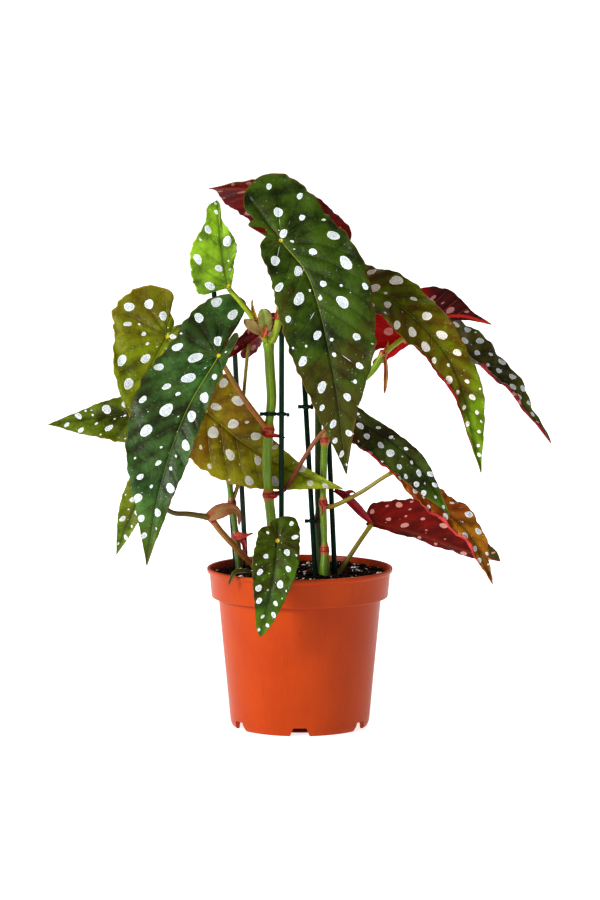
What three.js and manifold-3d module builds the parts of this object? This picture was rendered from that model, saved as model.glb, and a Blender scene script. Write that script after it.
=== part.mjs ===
// A polka dot begonia in a 12 cm nursery pot: an injection-moulded pot with a stepped rim, its soil,
// four canes and a side shoot held up by thin stakes, and sixteen angel-wing leaves on their petioles.
// Millimetres, +Z up. The origin is the middle of the pot's underside, and -Y is the front.
import * as THREE from 'three';
import { mergeVertices } from 'three/addons/utils/BufferGeometryUtils.js';
import Module from 'manifold-3d';

const wasm = await Module();
wasm.setup();

// ---------- driving dimensions, in mm ----------
const POT_HEIGHT = 103;
const POT_SIDES = 42;
const RIM_RADIUS = 60;          // outer edge of the rolled lip
const BAND_RADIUS = 57;         // foot of the rim band
const BAND_HEIGHT = 19;         // the straight collar above the shoulder
const SHOULDER_RADIUS = 52.6;   // the body just below the band
const BASE_RADIUS = 45;         // the body where it meets the foot
const WALL = 1.3;
const FOOT_HEIGHT = 6;          // ground to the underside of the raised floor
const FOOT_WIDTH = 3.2;
const NOTCHES = 6;
const NOTCH_WIDTH = 11;
const DRAIN_RADIUS = 4;
const BOSS_RADIUS = 9;          // the flat boss under the middle of the floor
const SOIL_TOP = 98;
const SOIL_LUMP = 1.6;
const CLEARANCE = 0.3;          // gap kept between neighbouring pieces
const ROOM = CLEARANCE * 1.1;   // what a stem's hole is wider than the stem, all round
const BLADE = 0.8;              // leaf thickness
const BRACT = 0.7;              // stipule thickness
const CANE_SIDES = 8;
const CANE_RADIUS = 2.9;        // the front cane, the thickest
const PETIOLE_SIDES = 6;
const STAKE_RADIUS = 1.65;

// ---------- materials ----------
const colours = {
  pot: [0xd5552c, 0.42],
  soil: [0x2a1d16, 0.95],
  cane: [0x6f9a45, 0.5],
  shoot: [0xb4573f, 0.5],
  petiole_green: [0x93a04f, 0.5],
  petiole_red: [0xb36a45, 0.5],
  leaf_dark: [0x24442f, 0.4],
  leaf_green: [0x3f7030, 0.4],
  leaf_young: [0x69a83c, 0.4],
  leaf_amber: [0x8a5a2c, 0.4],
  leaf_red: [0x93202a, 0.45],
  stake: [0x0f3c32, 0.3],
  clip: [0x123a25, 0.4],
};

function material(name) {
  const [color, roughness] = colours[name];
  return new THREE.MeshStandardMaterial({ name, color, roughness, metalness: 0 });
}

// ---------- solids ----------
function solid(geometry) {
  const bare = geometry.clone();
  bare.deleteAttribute('normal');
  bare.deleteAttribute('uv');
  const merged = mergeVertices(bare, 1e-4);
  return new wasm.Manifold(new wasm.Mesh({
    numProp: 3,
    vertProperties: new Float32Array(merged.attributes.position.array),
    triVerts: new Uint32Array(merged.index.array),
  }));
}

function geometryOf(body) {
  const mesh = body.getMesh();
  const geometry = new THREE.BufferGeometry();
  geometry.setAttribute('position', new THREE.BufferAttribute(mesh.vertProperties, 3));
  geometry.setIndex(new THREE.BufferAttribute(mesh.triVerts, 1));
  geometry.computeVertexNormals();
  return geometry;
}

const vector = (point) => new THREE.Vector3(...point);
const curveThrough = (points) => new THREE.CatmullRomCurve3(points.map(vector), false, 'catmullrom', 0.5);
const largest = (body) => body.decompose().sort((a, b) => b.volume() - a.volume())[0];

// A round tube along a curve, closed at both ends: a cylinder whose rings are moved onto the curve.
function tube(curve, radiusAt, sides, rings) {
  const geometry = new THREE.CylinderGeometry(1, 1, 1, sides, rings);
  const frames = curve.computeFrenetFrames(rings);
  const position = geometry.attributes.position;
  const vertex = new THREE.Vector3();
  for (let i = 0; i < position.count; i += 1) {
    vertex.fromBufferAttribute(position, i);
    const ring = Math.round((vertex.y + 0.5) * rings);
    const radius = radiusAt(ring / rings);
    const place = curve.getPointAt(ring / rings);
    place.addScaledVector(frames.binormals[ring], vertex.x * radius);
    place.addScaledVector(frames.normals[ring], vertex.z * radius);
    position.setXYZ(i, place.x, place.y, place.z);
  }
  return geometry;
}

// ---------- leaves ----------
// Each blade is drawn flat and then bent onto its rib. `rib` runs from the petiole to the tip, `up` is
// the way the upper face looks at the petiole and at the tip, and `hand` is the side of the broad half.
// Each half is [lobe behind the petiole, half-widths at the petiole, a quarter, half and three quarters
// of the rib], and `lap` is how far the broad lobe swings past the rib's line behind the petiole.
// fold: how far each half lifts from the rib, in degrees. droop: degrees of bend per mm out from the rib.
// curl: degrees per mm that the lobes bend back. wave: height and count of the margin's waves.
const LEAVES = [
  { name: 'crown', skin: 'leaf_dark', hand: 1, lap: 8,
    rib: [[-12, -40, 315], [7, -58, 289], [21, -72, 233], [29, -74, 171]],
    up: [[-0.1, -0.8, 0.6], [0.1, -1, 0.1]],
    broad: [50, 34, 35, 30, 12], narrow: [20, 10, 25, 24, 14],
    fold: [8, 8], droop: [0.3, 0.25], curl: 0.25, wave: [1, 5] },
  { name: 'left_front', skin: 'leaf_dark', hand: -1, lap: 0,
    rib: [[-51, -45, 243], [-72, -64, 207], [-87, -78, 162], [-95, -82, 115]],
    up: [[-0.2, -0.8, 0.5], [-0.1, -1, 0]],
    broad: [47, 32, 35, 29, 13], narrow: [19, 7, 12, 13, 8],
    fold: [8, 8], droop: [0.3, 0.25], curl: 0.5, wave: [1, 5] },
  { name: 'young', skin: 'leaf_young', hand: 1, lap: 0,
    rib: [[-45, -32, 286], [-48, -37, 304], [-50, -37, 321], [-52, -32, 340]],
    up: [[0.1, -1, 0.1], [0.1, -1, 0.2]],
    broad: [0.5, 14, 19, 18, 10], narrow: [0.5, 3, 7, 8, 3],
    fold: [8, 8], droop: [0.4, 0.4], curl: 0.3, wave: [0.7, 4] },
  { name: 'left_upper', skin: 'leaf_amber', hand: -1, lap: -8,
    rib: [[-85, 2, 252], [-96, -8, 230], [-98, -14, 205], [-95, -12, 179]],
    up: [[-0.1, -0.8, 0.5], [0, -1, 0.1]],
    broad: [30, 40, 28, 18, 9], narrow: [8, 12, 16, 12, 6],
    fold: [8, 8], droop: [0.3, 0.3], curl: 0.25, wave: [1, 4] },
  { name: 'left_far', skin: 'leaf_green', hand: 1, lap: 0,
    rib: [[-79, 34, 204], [-104, 34, 201], [-133, 34, 197], [-165, 34, 192]],
    up: [[0, -0.85, 0.5], [0, -0.85, 0.5]],
    broad: [8, 18, 24, 18, 9], narrow: [6, 10, 13, 10, 6],
    fold: [8, 8], droop: [0.3, 0.3], curl: 0.3, wave: [0.8, 4] },
  { name: 'left_low', skin: 'leaf_green', hand: -1, lap: 0,
    rib: [[-96, -48, 160], [-102, -50, 150], [-108, -50, 137], [-116, -46, 117]],
    up: [[0, -1, 0.2], [0, -1, 0.1]],
    broad: [7, 13, 11, 8, 4], narrow: [4, 6, 6, 5, 3],
    fold: [8, 8], droop: [0.3, 0.3], curl: 0.3, wave: [0.5, 3] },
  { name: 'middle', skin: 'leaf_amber', hand: -1, lap: 0,
    rib: [[-61, 12, 203], [-35, 6, 182], [-5, -6, 166], [28, -22, 156]],
    up: [[0.1, -1, 0.12], [0.2, -1, 0.2]],
    broad: [12, 30, 30, 22, 9], narrow: [10, 28, 19, 11, 5],
    fold: [8, 8], droop: [0.3, 0.3], curl: 0.4, wave: [0.8, 4] },
  { name: 'crown_rear', skin: 'leaf_red', hand: -1, lap: 0,
    rib: [[17, 10, 316], [-2, 16, 335], [-29, 8, 346], [-58, -8, 347]],
    up: [[0, 0.8, 0.6], [0, 0.6, 0.8]],
    broad: [16, 26, 30, 31, 17], narrow: [14, 17, 14, 12, 7],
    fold: [8, 8], droop: [0.3, 0.3], curl: 0.3, wave: [0.8, 4] },
  { name: 'right_long', skin: 'leaf_green', hand: -1, lap: 0,
    rib: [[32, -14, 286], [66, -30, 271], [98, -44, 233], [114, -50, 169]],
    up: [[0.1, -0.7, 0.7], [0.3, -1, 0.1]],
    broad: [16, 10, 13, 12, 5], narrow: [18, 21, 19, 14, 11],
    fold: [8, 8], droop: [0.3, 0.3], curl: 0.3, wave: [1, 5] },
  { name: 'right_under', skin: 'leaf_red', hand: -1, lap: -4,
    rib: [[67, 16, 250], [84, 20, 261], [104, 26, 264], [125, 30, 258]],
    up: [[0, 0.9, 0.4], [0, 0.8, 0.6]],
    broad: [32, 27, 25, 20, 5], narrow: [26, 7, 5, 4, 3],
    fold: [8, 8], droop: [0.3, 0.3], curl: 0.3, wave: [0.8, 4] },
  { name: 'right_far', skin: 'leaf_dark', hand: 1, lap: 0,
    rib: [[72, 34, 266], [107, 46, 240], [135, 56, 217], [167, 62, 177]],
    up: [[0.4, -0.6, 0.7], [0.6, -0.6, 0.5]],
    broad: [16, 20, 24, 20, 10], narrow: [12, 14, 14, 12, 6],
    fold: [8, 30], droop: [0.3, 0.3], curl: 0.3, wave: [0.8, 5] },
  { name: 'right_mid', skin: 'leaf_dark', hand: 1, lap: 0,
    rib: [[30, -42, 206], [53, -52, 193], [75, -60, 174], [94, -62, 144]],
    up: [[0.1, -0.8, 0.6], [0.3, -1, 0.4]],
    broad: [12, 8, 6, 7, 4], narrow: [14, 15, 19, 18, 11],
    fold: [8, 8], droop: [0.3, 0.3], curl: 0.3, wave: [0.8, 4] },
  { name: 'right_amber', skin: 'leaf_amber', hand: 1, lap: 0,
    rib: [[61, -22, 168], [83, -30, 150], [103, -40, 128], [122, -44, 98]],
    up: [[0.2, -0.8, 0.5], [0.3, -1, 0.4]],
    broad: [9, 8, 9, 10, 6], narrow: [8, 9, 9, 9, 5],
    fold: [8, 8], droop: [0.3, 0.3], curl: 0.3, wave: [0.8, 4] },
  { name: 'right_low', skin: 'leaf_red', hand: -1, lap: -8, notch: 0.5,
    rib: [[47, 4, 131], [75, 9, 124], [104, 15, 114], [133, 20, 111]],
    up: [[0, 0.9, 0.4], [0, 0.6, 0.8]],
    broad: [28, 18, 26, 20, 9], narrow: [4, 3, 5, 6, 4],
    fold: [8, 8], droop: [0.3, 0.3], curl: 0.1, wave: [0.8, 4] },
  { name: 'front_small', skin: 'leaf_green', hand: 1, lap: 0,
    rib: [[-14, -62, 128], [-15, -70, 114], [-19, -75, 93], [-25, -74, 69]],
    up: [[0, -1, 0.3], [0, -1, 0]],
    broad: [17, 14, 14, 10, 5], narrow: [9, 13, 15, 12, 6],
    fold: [8, 8], droop: [0.3, 0.3], curl: 0.3, wave: [0.6, 4] },
  { name: 'rear_red', skin: 'leaf_red', hand: -1, lap: 0,
    rib: [[-33, 28, 246], [-22, 36, 254], [-8, 44, 255], [8, 50, 252]],
    up: [[0, 0.8, 0.6], [0, 0.6, 0.8]],
    broad: [20, 18, 16, 12, 6], narrow: [18, 12, 12, 9, 4],
    fold: [8, 8], droop: [0.3, 0.3], curl: 0.3, wave: [0.7, 4] },
];

const LEAF_ROWS = 16;
const LEAF_COLUMNS = 3;         // on each side of the rib

// The margin of one half, from the petiole round the lobe to the tip, as [along, across].
function margin([back, w0, w1, w2, w3], lap, notch, length) {
  const points = [
    [0, 0], [-0.36 * back, 0.02 * back], [-0.62 * back, 0.02 * back - lap], [-0.9 * back, 0.12 * w0 - lap / 2],
    [-back, 0.4 * w0], [-0.88 * back, 0.78 * w0], [-0.45 * back, (0.97 - notch) * w0], [0, w0],
    [length / 4, w1], [length / 2, w2], [length * 0.75, w3], [length * 0.92, w3 * 0.3], [length, 0],
  ];
  return curveThrough(points.map(([along, across]) => [along, across, 0]));
}

// Puts flat leaf points [along, across] onto the bent blade, `lift` mm above its middle surface.
function bender(leaf) {
  const rib = curveThrough(leaf.rib);
  const length = rib.getLength();
  const radians = Math.PI / 180;
  const curl = leaf.curl * radians;
  const [upBase, upTip] = leaf.up.map(vector);

  function frameAt(along) {
    const u = THREE.MathUtils.clamp(along / length, 0, 1);
    const place = rib.getPointAt(u);
    const tangent = rib.getTangentAt(u);
    const up = upBase.clone().lerp(upTip, u);
    up.addScaledVector(tangent, -up.dot(tangent)).normalize();
    if (along < 0) {
      const turn = -along * curl;
      place.addScaledVector(tangent, -Math.sin(turn) / curl).addScaledVector(up, (Math.cos(turn) - 1) / curl);
      const turned = tangent.clone().multiplyScalar(Math.cos(turn)).addScaledVector(up, Math.sin(turn));
      up.multiplyScalar(Math.cos(turn)).addScaledVector(tangent, -Math.sin(turn));
      tangent.copy(turned);
    }
    return { place, tangent, up };
  }

  function bend(along, across, wave, lift) {
    const { place, tangent, up } = frameAt(along);
    const side = across < 0 ? 1 : 0;
    const outward = new THREE.Vector3().crossVectors(up, tangent).multiplyScalar(leaf.hand);
    const start = leaf.fold[side] * radians;
    const droop = leaf.droop[side] * radians;
    const end = start - droop * Math.abs(across);
    const out = (Math.sin(start) - Math.sin(end)) / droop;
    const rise = (Math.cos(end) - Math.cos(start)) / droop + wave;
    const facing = Math.sign(across);
    place.addScaledVector(outward, out * facing - lift * Math.sin(end) * facing);
    place.addScaledVector(up, rise + lift * Math.cos(end));
    return place;
  }
  return { bend, length };
}

// A closed blade: the same grid of triangles on its upper and lower face, joined round the margin.
function blade(leaf, thickness, rows, columns) {
  const { bend, length } = bender(leaf);
  const halves = [margin(leaf.broad, leaf.lap, leaf.notch ?? 0, length), margin(leaf.narrow, 0, 0, length)];
  const [waveHeight, waves] = leaf.wave;
  const width = 2 * columns + 1;
  const points = [];
  for (const lift of [thickness / 2, -thickness / 2]) {
    for (let row = 0; row <= rows; row += 1) {
      const t = row / rows;
      const middle = length * t ** 1.5;
      for (let column = -columns; column <= columns; column += 1) {
        const share = Math.abs(column) / columns;
        const edge = halves[column < 0 ? 1 : 0].getPointAt(t);
        const along = THREE.MathUtils.lerp(middle, edge.x, share);
        const across = edge.y * share * (column < 0 ? -1 : 1);
        const wave = waveHeight * share ** 2 * Math.sin(2 * Math.PI * waves * t + column);
        points.push(bend(along, across, row === 0 || row === rows ? 0 : wave, lift));
      }
    }
  }
  const index = [];
  const layer = (rows + 1) * width;
  const corner = (face, row, column) => {
    const only = row === 0 || row === rows;
    return face * layer + row * width + (only ? columns : column + columns);
  };
  const triangle = (a, b, c) => {
    if (a !== b && b !== c && c !== a) index.push(a, b, c);
  };
  const flip = leaf.hand > 0;
  const quad = (a, b, c, d) => {
    triangle(...(flip ? [a, c, b] : [a, b, c]));
    triangle(...(flip ? [a, d, c] : [a, c, d]));
  };
  for (let row = 0; row < rows; row += 1) {
    for (let column = -columns; column < columns; column += 1) {
      const face = (f) => [corner(f, row, column), corner(f, row, column + 1),
        corner(f, row + 1, column + 1), corner(f, row + 1, column)];
      const [a, b, c, d] = face(0);
      quad(a, b, c, d);
      const [e, f, g, h] = face(1);
      triangle(...(flip ? [e, f, g] : [e, g, f]));
      triangle(...(flip ? [e, g, h] : [e, h, g]));
    }
    const next = row + 1;
    for (const [side, front, back] of [[columns, 0, 1], [-columns, 1, 0]]) {
      quad(corner(front, row, side), corner(back, row, side), corner(back, next, side), corner(front, next, side));
    }
  }
  const geometry = new THREE.BufferGeometry().setFromPoints(points);
  return geometry.setIndex(index).toNonIndexed();
}

// The slab that a petiole's end is cut back from, so that it stops just under its blade.
function seat(leaf) {
  const slab = new THREE.BoxGeometry(12, 12, BLADE + 2.2 * CLEARANCE).translate(2, 0, 0);
  const tangent = curveThrough(leaf.rib).getTangentAt(0);
  const up = vector(leaf.up[0]);
  up.addScaledVector(tangent, -up.dot(tangent)).normalize();
  const frame = new THREE.Matrix4().makeBasis(tangent, new THREE.Vector3().crossVectors(up, tangent), up);
  return solid(slab.applyMatrix4(frame.setPosition(vector(leaf.rib[0]))));
}

const leafSolids = {};
for (const leaf of LEAVES) {
  leafSolids[leaf.name] = solid(blade(leaf, BLADE, LEAF_ROWS, LEAF_COLUMNS));
}

// ---------- canes ----------
// Points run from the cane's foot in the soil to its top. Joints are heights of the swollen nodes.
const CANES = [
  { name: 'cane_front', skin: 'cane', radius: CANE_RADIUS, swell: 1.1, rings: 34,
    points: [[-17, -14, 62], [-17.5, -16, 98], [-18, -17, 131], [-20, -18, 152], [-21, -19, 173],
      [-20, -20, 194], [-18, -20, 213], [-19, -20, 232], [-20, -20, 252]],
    joints: [108, 152, 194, 250] },
  { name: 'cane_right', skin: 'cane', radius: 2.2, swell: 0.9, rings: 34,
    points: [[16, -20, 62], [16, -18, 99], [16, -14, 116], [15, -10, 146], [16, -6, 185],
      [19, -4, 202], [30, 0, 216], [46, 4, 229], [55, 6, 243]],
    joints: [116, 146, 186, 242] },
  { name: 'cane_rear', skin: 'cane', radius: 2.3, swell: 0.9, rings: 32,
    points: [[14, -3, 62], [13.5, -3, 99], [12, -2, 134], [12, 2, 166], [12, 6, 194],
      [12, 10, 230], [12, 12, 268], [14, 12, 296]],
    joints: [134, 208, 278] },
  { name: 'cane_left', skin: 'cane', radius: 2.2, swell: 0.9, rings: 32,
    points: [[-37, 16, 62], [-39.5, 20, 98], [-41, 22, 115], [-46, 24, 155], [-50, 24, 189],
      [-55, 24, 222], [-62, 22, 252]],
    joints: [120, 142, 192, 250] },
  { name: 'shoot_side', skin: 'shoot', radius: 1.7, swell: 0.6, rings: 14,
    points: [[-22, -6, 78], [-26, -8, 99], [-38, -14, 114], [-50, -20, 128], [-57, -24, 138]],
    joints: [137] },
];

// Papery stipules stand on the canes' joints: [cane, rib points, upper face, half-width].
const STIPULES = [
  ['cane_front', [[-19, -20, 248], [-23, -26, 258], [-27, -27, 270]], [0.3, -1, 0.2], 4],
  ['cane_front', [[-21, -20, 249], [-28, -24, 256], [-35, -24, 266]], [-0.4, -1, 0.2], 3],
  ['cane_front', [[-19, -20, 192], [-13, -16, 192], [-8, -16, 190]], [0.2, -1, 0.6], 1.6],
  ['cane_right', [[55, 6, 241], [57, 5, 233], [55, 4, 219]], [0, -1, 0], 2],
  ['cane_rear', [[12, 7, 207], [9, 5, 208], [5, 3, 206]], [0, -1, 0.4], 1.6],
  ['cane_left', [[-41, 22, 119], [-37, 18, 120], [-33, 16, 114]], [0, -1, 0.6], 2.4],
  ['shoot_side', [[-56, -24, 137], [-46, -26, 146], [-39, -28, 141], [-37, -28, 130]], [0, -1, 0.6], 2.4],
];

function stipule(rib, up, half, thickness) {
  const shape = { rib, up: [up, up], hand: 1, lap: 0, fold: [20, 20], droop: [4, 4], curl: 1, wave: [0, 1] };
  const side = [0.5, half * 0.5, half, half, half * 0.6];
  return solid(blade({ ...shape, broad: side, narrow: side }, thickness, 6, 1));
}

function caneRadius(cane, curve, grow) {
  const misses = (u, height) => Math.abs(curve.getPointAt(u).z - height);
  const joints = cane.joints.map((height) => {
    let best = 0;
    for (let i = 0; i <= 200; i += 1) {
      if (misses(i / 200, height) < misses(best, height)) best = i / 200;
    }
    return best;
  });
  const length = curve.getLength();
  return (u) => joints.reduce((radius, joint) => (
    radius + cane.swell * Math.exp(-1 * (((u - joint) * length) / 3) ** 2)
  ), cane.radius + grow);
}

const caneSolids = {};
const caneRoom = {};
for (const cane of CANES) {
  const curve = curveThrough(cane.points);
  let body = solid(tube(curve, caneRadius(cane, curve, 0), CANE_SIDES, cane.rings));
  let room = solid(tube(curve, caneRadius(cane, curve, ROOM), CANE_SIDES, cane.rings));
  for (const [owner, rib, up, half] of STIPULES) {
    if (owner !== cane.name) continue;
    body = body.add(stipule(rib, up, half, BRACT));
    room = room.add(stipule(rib, up, half + CLEARANCE, BRACT + 2 * CLEARANCE));
  }
  caneSolids[cane.name] = body;
  caneRoom[cane.name] = room;
}

// ---------- petioles ----------
// Each leaf's stalk runs from its cane, or from the soil, and ends where its blade's rib starts.
const PETIOLES = {
  crown: { from: 'cane_front', skin: 'petiole_green', radius: [2.2, 1.7],
    points: [[-17.5, -20, 249], [-15, -20, 264], [-12, -25, 283], [-12, -36, 306]] },
  left_front: { from: 'cane_front', skin: 'petiole_red', radius: [1.9, 1.5],
    points: [[-20, -20, 193], [-35, -29, 214], [-45, -36, 231]] },
  young: { from: 'cane_front', skin: 'petiole_green', radius: [1.8, 1.2],
    points: [[-22.5, -20, 249], [-28, -25, 263], [-37, -27, 275], [-44, -27, 283]] },
  left_upper: { from: 'cane_left', skin: 'petiole_green', radius: [2, 1.8],
    points: [[-62, 22, 250], [-72, 19, 257], [-81, 12, 256]] },
  left_far: { from: 'cane_left', skin: 'petiole_green', radius: [1.7, 1.4],
    points: [[-52, 24, 200], [-60, 32, 203], [-70, 40, 203], [-77, 40, 201]] },
  left_low: { from: 'shoot_side', skin: 'petiole_red', radius: [1.2, 1.1],
    points: [[-57, -24, 138], [-70, -31, 141], [-81, -38, 143], [-90, -43, 151]] },
  middle: { from: 'cane_left', skin: 'petiole_green', radius: [1.6, 1.4],
    points: [[-50, 24, 190], [-55, 19, 198]] },
  crown_rear: { from: 'cane_rear', skin: 'petiole_red', radius: [1.8, 1.5],
    points: [[14, 12, 295], [16, 9, 303], [17, 7, 310]] },
  right_long: { from: 'cane_rear', skin: 'petiole_green', radius: [1.8, 1.5],
    points: [[12.5, 12, 279], [20, 4, 284], [27, -5, 281]] },
  right_under: { from: 'cane_right', skin: 'petiole_green', radius: [1.7, 1.4],
    points: [[55, 6, 242], [61, 6, 246], [66, 10, 247]] },
  right_far: { from: 'cane_right', skin: 'petiole_green', radius: [1.7, 1.4],
    points: [[40, 3, 224], [48, 20, 243], [58, 31, 258]] },
  right_mid: { from: 'cane_front', skin: 'petiole_red', radius: [1.5, 1.3],
    points: [[-19, -16, 152], [-12, -12.5, 153], [-6, -15, 160], [2, -24, 175], [14, -31, 193]] },
  right_amber: { from: 'cane_right', skin: 'petiole_green', radius: [1.5, 1.3],
    points: [[15, -10, 144], [22, -11, 144], [39, -14, 153], [52, -17, 162]] },
  right_low: { from: 'soil', skin: 'petiole_green', radius: [1.7, 1.5],
    points: [[18, -7, 84], [25, -6, 99], [36, -3, 116]] },
  front_small: { from: 'soil', skin: 'petiole_green', radius: [1.5, 1.2],
    points: [[-13, -28, 84], [-13, -32, 99], [-13, -42, 114], [-14, -54, 124]] },
  rear_red: { from: 'cane_left', skin: 'petiole_green', radius: [1.3, 1.1],
    points: [[-44.5, 23, 142], [-40, 27, 156], [-39, 29, 182], [-36, 28, 219], [-34, 24, 239]] },
};

function petioleTube(leaf, grow) {
  const petiole = PETIOLES[leaf.name];
  const curve = curveThrough([...petiole.points, leaf.rib[0]]);
  const [base, top] = petiole.radius;
  const rings = Math.max(4, Math.round(curve.getLength() / 7));
  return solid(tube(curve, (u) => THREE.MathUtils.lerp(base, top, u) + grow, PETIOLE_SIDES, rings));
}

const petioleSolids = {};
const rootedRoom = [];          // room for the petioles that stand in the soil
for (const leaf of LEAVES) {
  const { from } = PETIOLES[leaf.name];
  let body = petioleTube(leaf, 0).subtract(seat(leaf));
  if (from === 'soil') rootedRoom.push(petioleTube(leaf, ROOM));
  else body = body.subtract(caneRoom[from]);
  petioleSolids[leaf.name] = largest(body);
}

// ---------- stakes and their clips ----------
// Straight glossy sticks, from deep in the soil to their tops.
const STAKES = {
  stake_front: [[-12, -12, 40], [-11.5, -25, 268]],
  stake_left: [[-38, 24, 50], [-57, 38, 290]],
  stake_centre: [[13, -19, 46], [1, 4, 256]],
  stake_right: [[25, -16, 46], [16, 6, 243]],
  stake_back: [[-33, 28, 50], [-43, 46, 244]],
};

function stakeTube(ends, grow) {
  const line = new THREE.LineCurve3(...ends.map(vector));
  return solid(tube(line, () => STAKE_RADIUS + grow, 8, 1));
}

const stakeSolids = {};
const stakeRoom = {};
for (const [name, ends] of Object.entries(STAKES)) {
  stakeSolids[name] = stakeTube(ends, 0);
  stakeRoom[name] = stakeTube(ends, ROOM);
}

// ---------- pot ----------
function potProfile() {
  const band = POT_HEIGHT - BAND_HEIGHT;
  const outer = [
    [BASE_RADIUS - FOOT_WIDTH, 0], [BASE_RADIUS - 1, 0], [BASE_RADIUS, 1.2], [BASE_RADIUS + 0.3, FOOT_HEIGHT],
    [SHOULDER_RADIUS, band], [BAND_RADIUS - 0.6, band], [BAND_RADIUS, band + 0.8],
    [BAND_RADIUS + 1.6, POT_HEIGHT - 2.4], [RIM_RADIUS, POT_HEIGHT - 1.8], [RIM_RADIUS, POT_HEIGHT],
  ];
  const inner = [
    [RIM_RADIUS - 1.8, POT_HEIGHT], [BAND_RADIUS + 0.6, POT_HEIGHT - 3], [BAND_RADIUS - WALL, band + 2],
    [SHOULDER_RADIUS - WALL, band - 1.4], [BASE_RADIUS + 0.3 - WALL, FOOT_HEIGHT + WALL],
  ];
  return { outer, inner };
}

function lathe(profile, sides) {
  return new THREE.LatheGeometry(profile.map(([r, z]) => new THREE.Vector2(r, z)), sides).rotateX(Math.PI / 2);
}

function prism(points, depth) {
  const shape = new THREE.Shape(points.map(([x, y]) => new THREE.Vector2(x, y)));
  return new THREE.ExtrudeGeometry(shape, { depth, bevelEnabled: false });
}

function potSolid() {
  const { outer, inner } = potProfile();
  const floor = FOOT_HEIGHT + WALL;
  const boss = [[0, 0], [BOSS_RADIUS, 0], [BOSS_RADIUS + 0.8, FOOT_HEIGHT]];
  const profile = [...boss, [BASE_RADIUS - FOOT_WIDTH, FOOT_HEIGHT], ...outer, ...inner, [0, floor]];
  let body = solid(lathe(profile, POT_SIDES));
  const half = NOTCH_WIDTH / 2;
  const notch = prism([[-half - 0.6, -1], [half + 0.6, -1], [half - 0.6, FOOT_HEIGHT - 0.3],
    [-half + 0.6, FOOT_HEIGHT - 0.3]], FOOT_WIDTH + 3);
  notch.rotateX(Math.PI / 2).translate(0, 1.5 - BASE_RADIUS + FOOT_WIDTH, 0);
  const drain = new THREE.CylinderGeometry(DRAIN_RADIUS, DRAIN_RADIUS, 4, 12);
  drain.rotateX(Math.PI / 2).translate(0, DRAIN_RADIUS + FOOT_WIDTH + 3 - BASE_RADIUS, floor - 1);
  for (let i = 0; i < NOTCHES; i += 1) {
    const turn = (i / NOTCHES) * 2 * Math.PI;
    body = body.subtract(solid(notch.clone().rotateZ(turn)));
    body = body.subtract(solid(drain.clone().rotateZ(turn)));
  }
  return body;
}

// ---------- soil ----------
// The soil fills the pot, with a lumpy top, and every stem and stake stands in its own hole.
function soilSolid() {
  const { inner } = potProfile();
  const [, upper, bandFoot, shoulder, lower] = inner;
  const climb = (SOIL_TOP - bandFoot[1]) / (upper[1] - bandFoot[1]);
  const edge = THREE.MathUtils.lerp(bandFoot[0], upper[0], climb);
  const gap = CLEARANCE * 1.2;
  const wall = [[edge, SOIL_TOP], bandFoot, shoulder, lower].map(([r, z]) => [r - gap, z]);
  const base = FOOT_HEIGHT + WALL + CLEARANCE;
  wall[wall.length - 1][1] = base;
  const rings = [0, 0.3, 0.55, 0.75, 0.9].map((share) => [share * (edge - gap), SOIL_TOP]);
  const geometry = lathe([[0, base], ...wall.toReversed(), ...rings.toReversed()], POT_SIDES);
  const position = geometry.attributes.position;
  for (let i = 0; i < position.count; i += 1) {
    const x = position.getX(i);
    const y = position.getY(i);
    const inside = Math.hypot(x, y) < edge - 2;
    if (position.getZ(i) > SOIL_TOP - 0.1 && inside) {
      const lump = Math.sin(x * 0.45 + 1) * Math.cos(y * 0.38) + 0.6 * Math.sin(x * 1.1 - y * 0.9);
      position.setZ(i, SOIL_TOP + SOIL_LUMP * 0.5 * lump);
    }
  }
  let body = solid(geometry);
  const standing = [...Object.values(caneRoom), ...Object.values(stakeRoom), ...rootedRoom];
  for (const stem of standing) body = body.subtract(stem);
  return largest(body);
}

// ---------- clips ----------
// A band round a cane and its stake has two loops side by side; a band round one stake has one.
const CANE_LOOP = CANE_RADIUS + CLEARANCE + 0.2;
const STAKE_LOOP = STAKE_RADIUS + CLEARANCE + 0.1;
const CLIPS = {
  clip_front: { height: 204, wide: 2.2, wall: 1.1,
    loops: [[-19, -20.1, CANE_LOOP], [-11.6, -21.4, STAKE_LOOP]] },
  clip_centre: { height: 207, wide: 2.4, wall: 1, loops: [[3.8, -1.4, STAKE_LOOP]] },
  clip_low: { height: 134, wide: 2, wall: 0.9, loops: [[8, -9.4, STAKE_LOOP]] },
};

function clipSolid({ height, wide, wall, loops }) {
  const discs = (grow, depth) => loops.map(([x, y, radius]) => {
    const disc = new THREE.CylinderGeometry(radius + grow, radius + grow, depth, 12);
    return solid(disc.rotateX(Math.PI / 2).translate(x, y, height));
  }).reduce((sum, disc) => sum.add(disc));
  return largest(discs(wall, wide).subtract(discs(0, wide + 2)));
}

// ---------- assembly ----------
const plant = new THREE.Group();

function addPiece(name, body, skin) {
  const mesh = new THREE.Mesh(geometryOf(body), material(skin));
  mesh.name = name;
  plant.add(mesh);
}

addPiece('pot', potSolid(), 'pot');
addPiece('soil', soilSolid(), 'soil');
for (const cane of CANES) addPiece(cane.name, caneSolids[cane.name], cane.skin);
for (const [name, body] of Object.entries(stakeSolids)) addPiece(name, body, 'stake');
for (const [name, shape] of Object.entries(CLIPS)) addPiece(name, clipSolid(shape), 'clip');
for (const leaf of LEAVES) {
  addPiece(`petiole_${leaf.name}`, petioleSolids[leaf.name], PETIOLES[leaf.name].skin);
  addPiece(`leaf_${leaf.name}`, leafSolids[leaf.name], leaf.skin);
}

export default plant;
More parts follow.
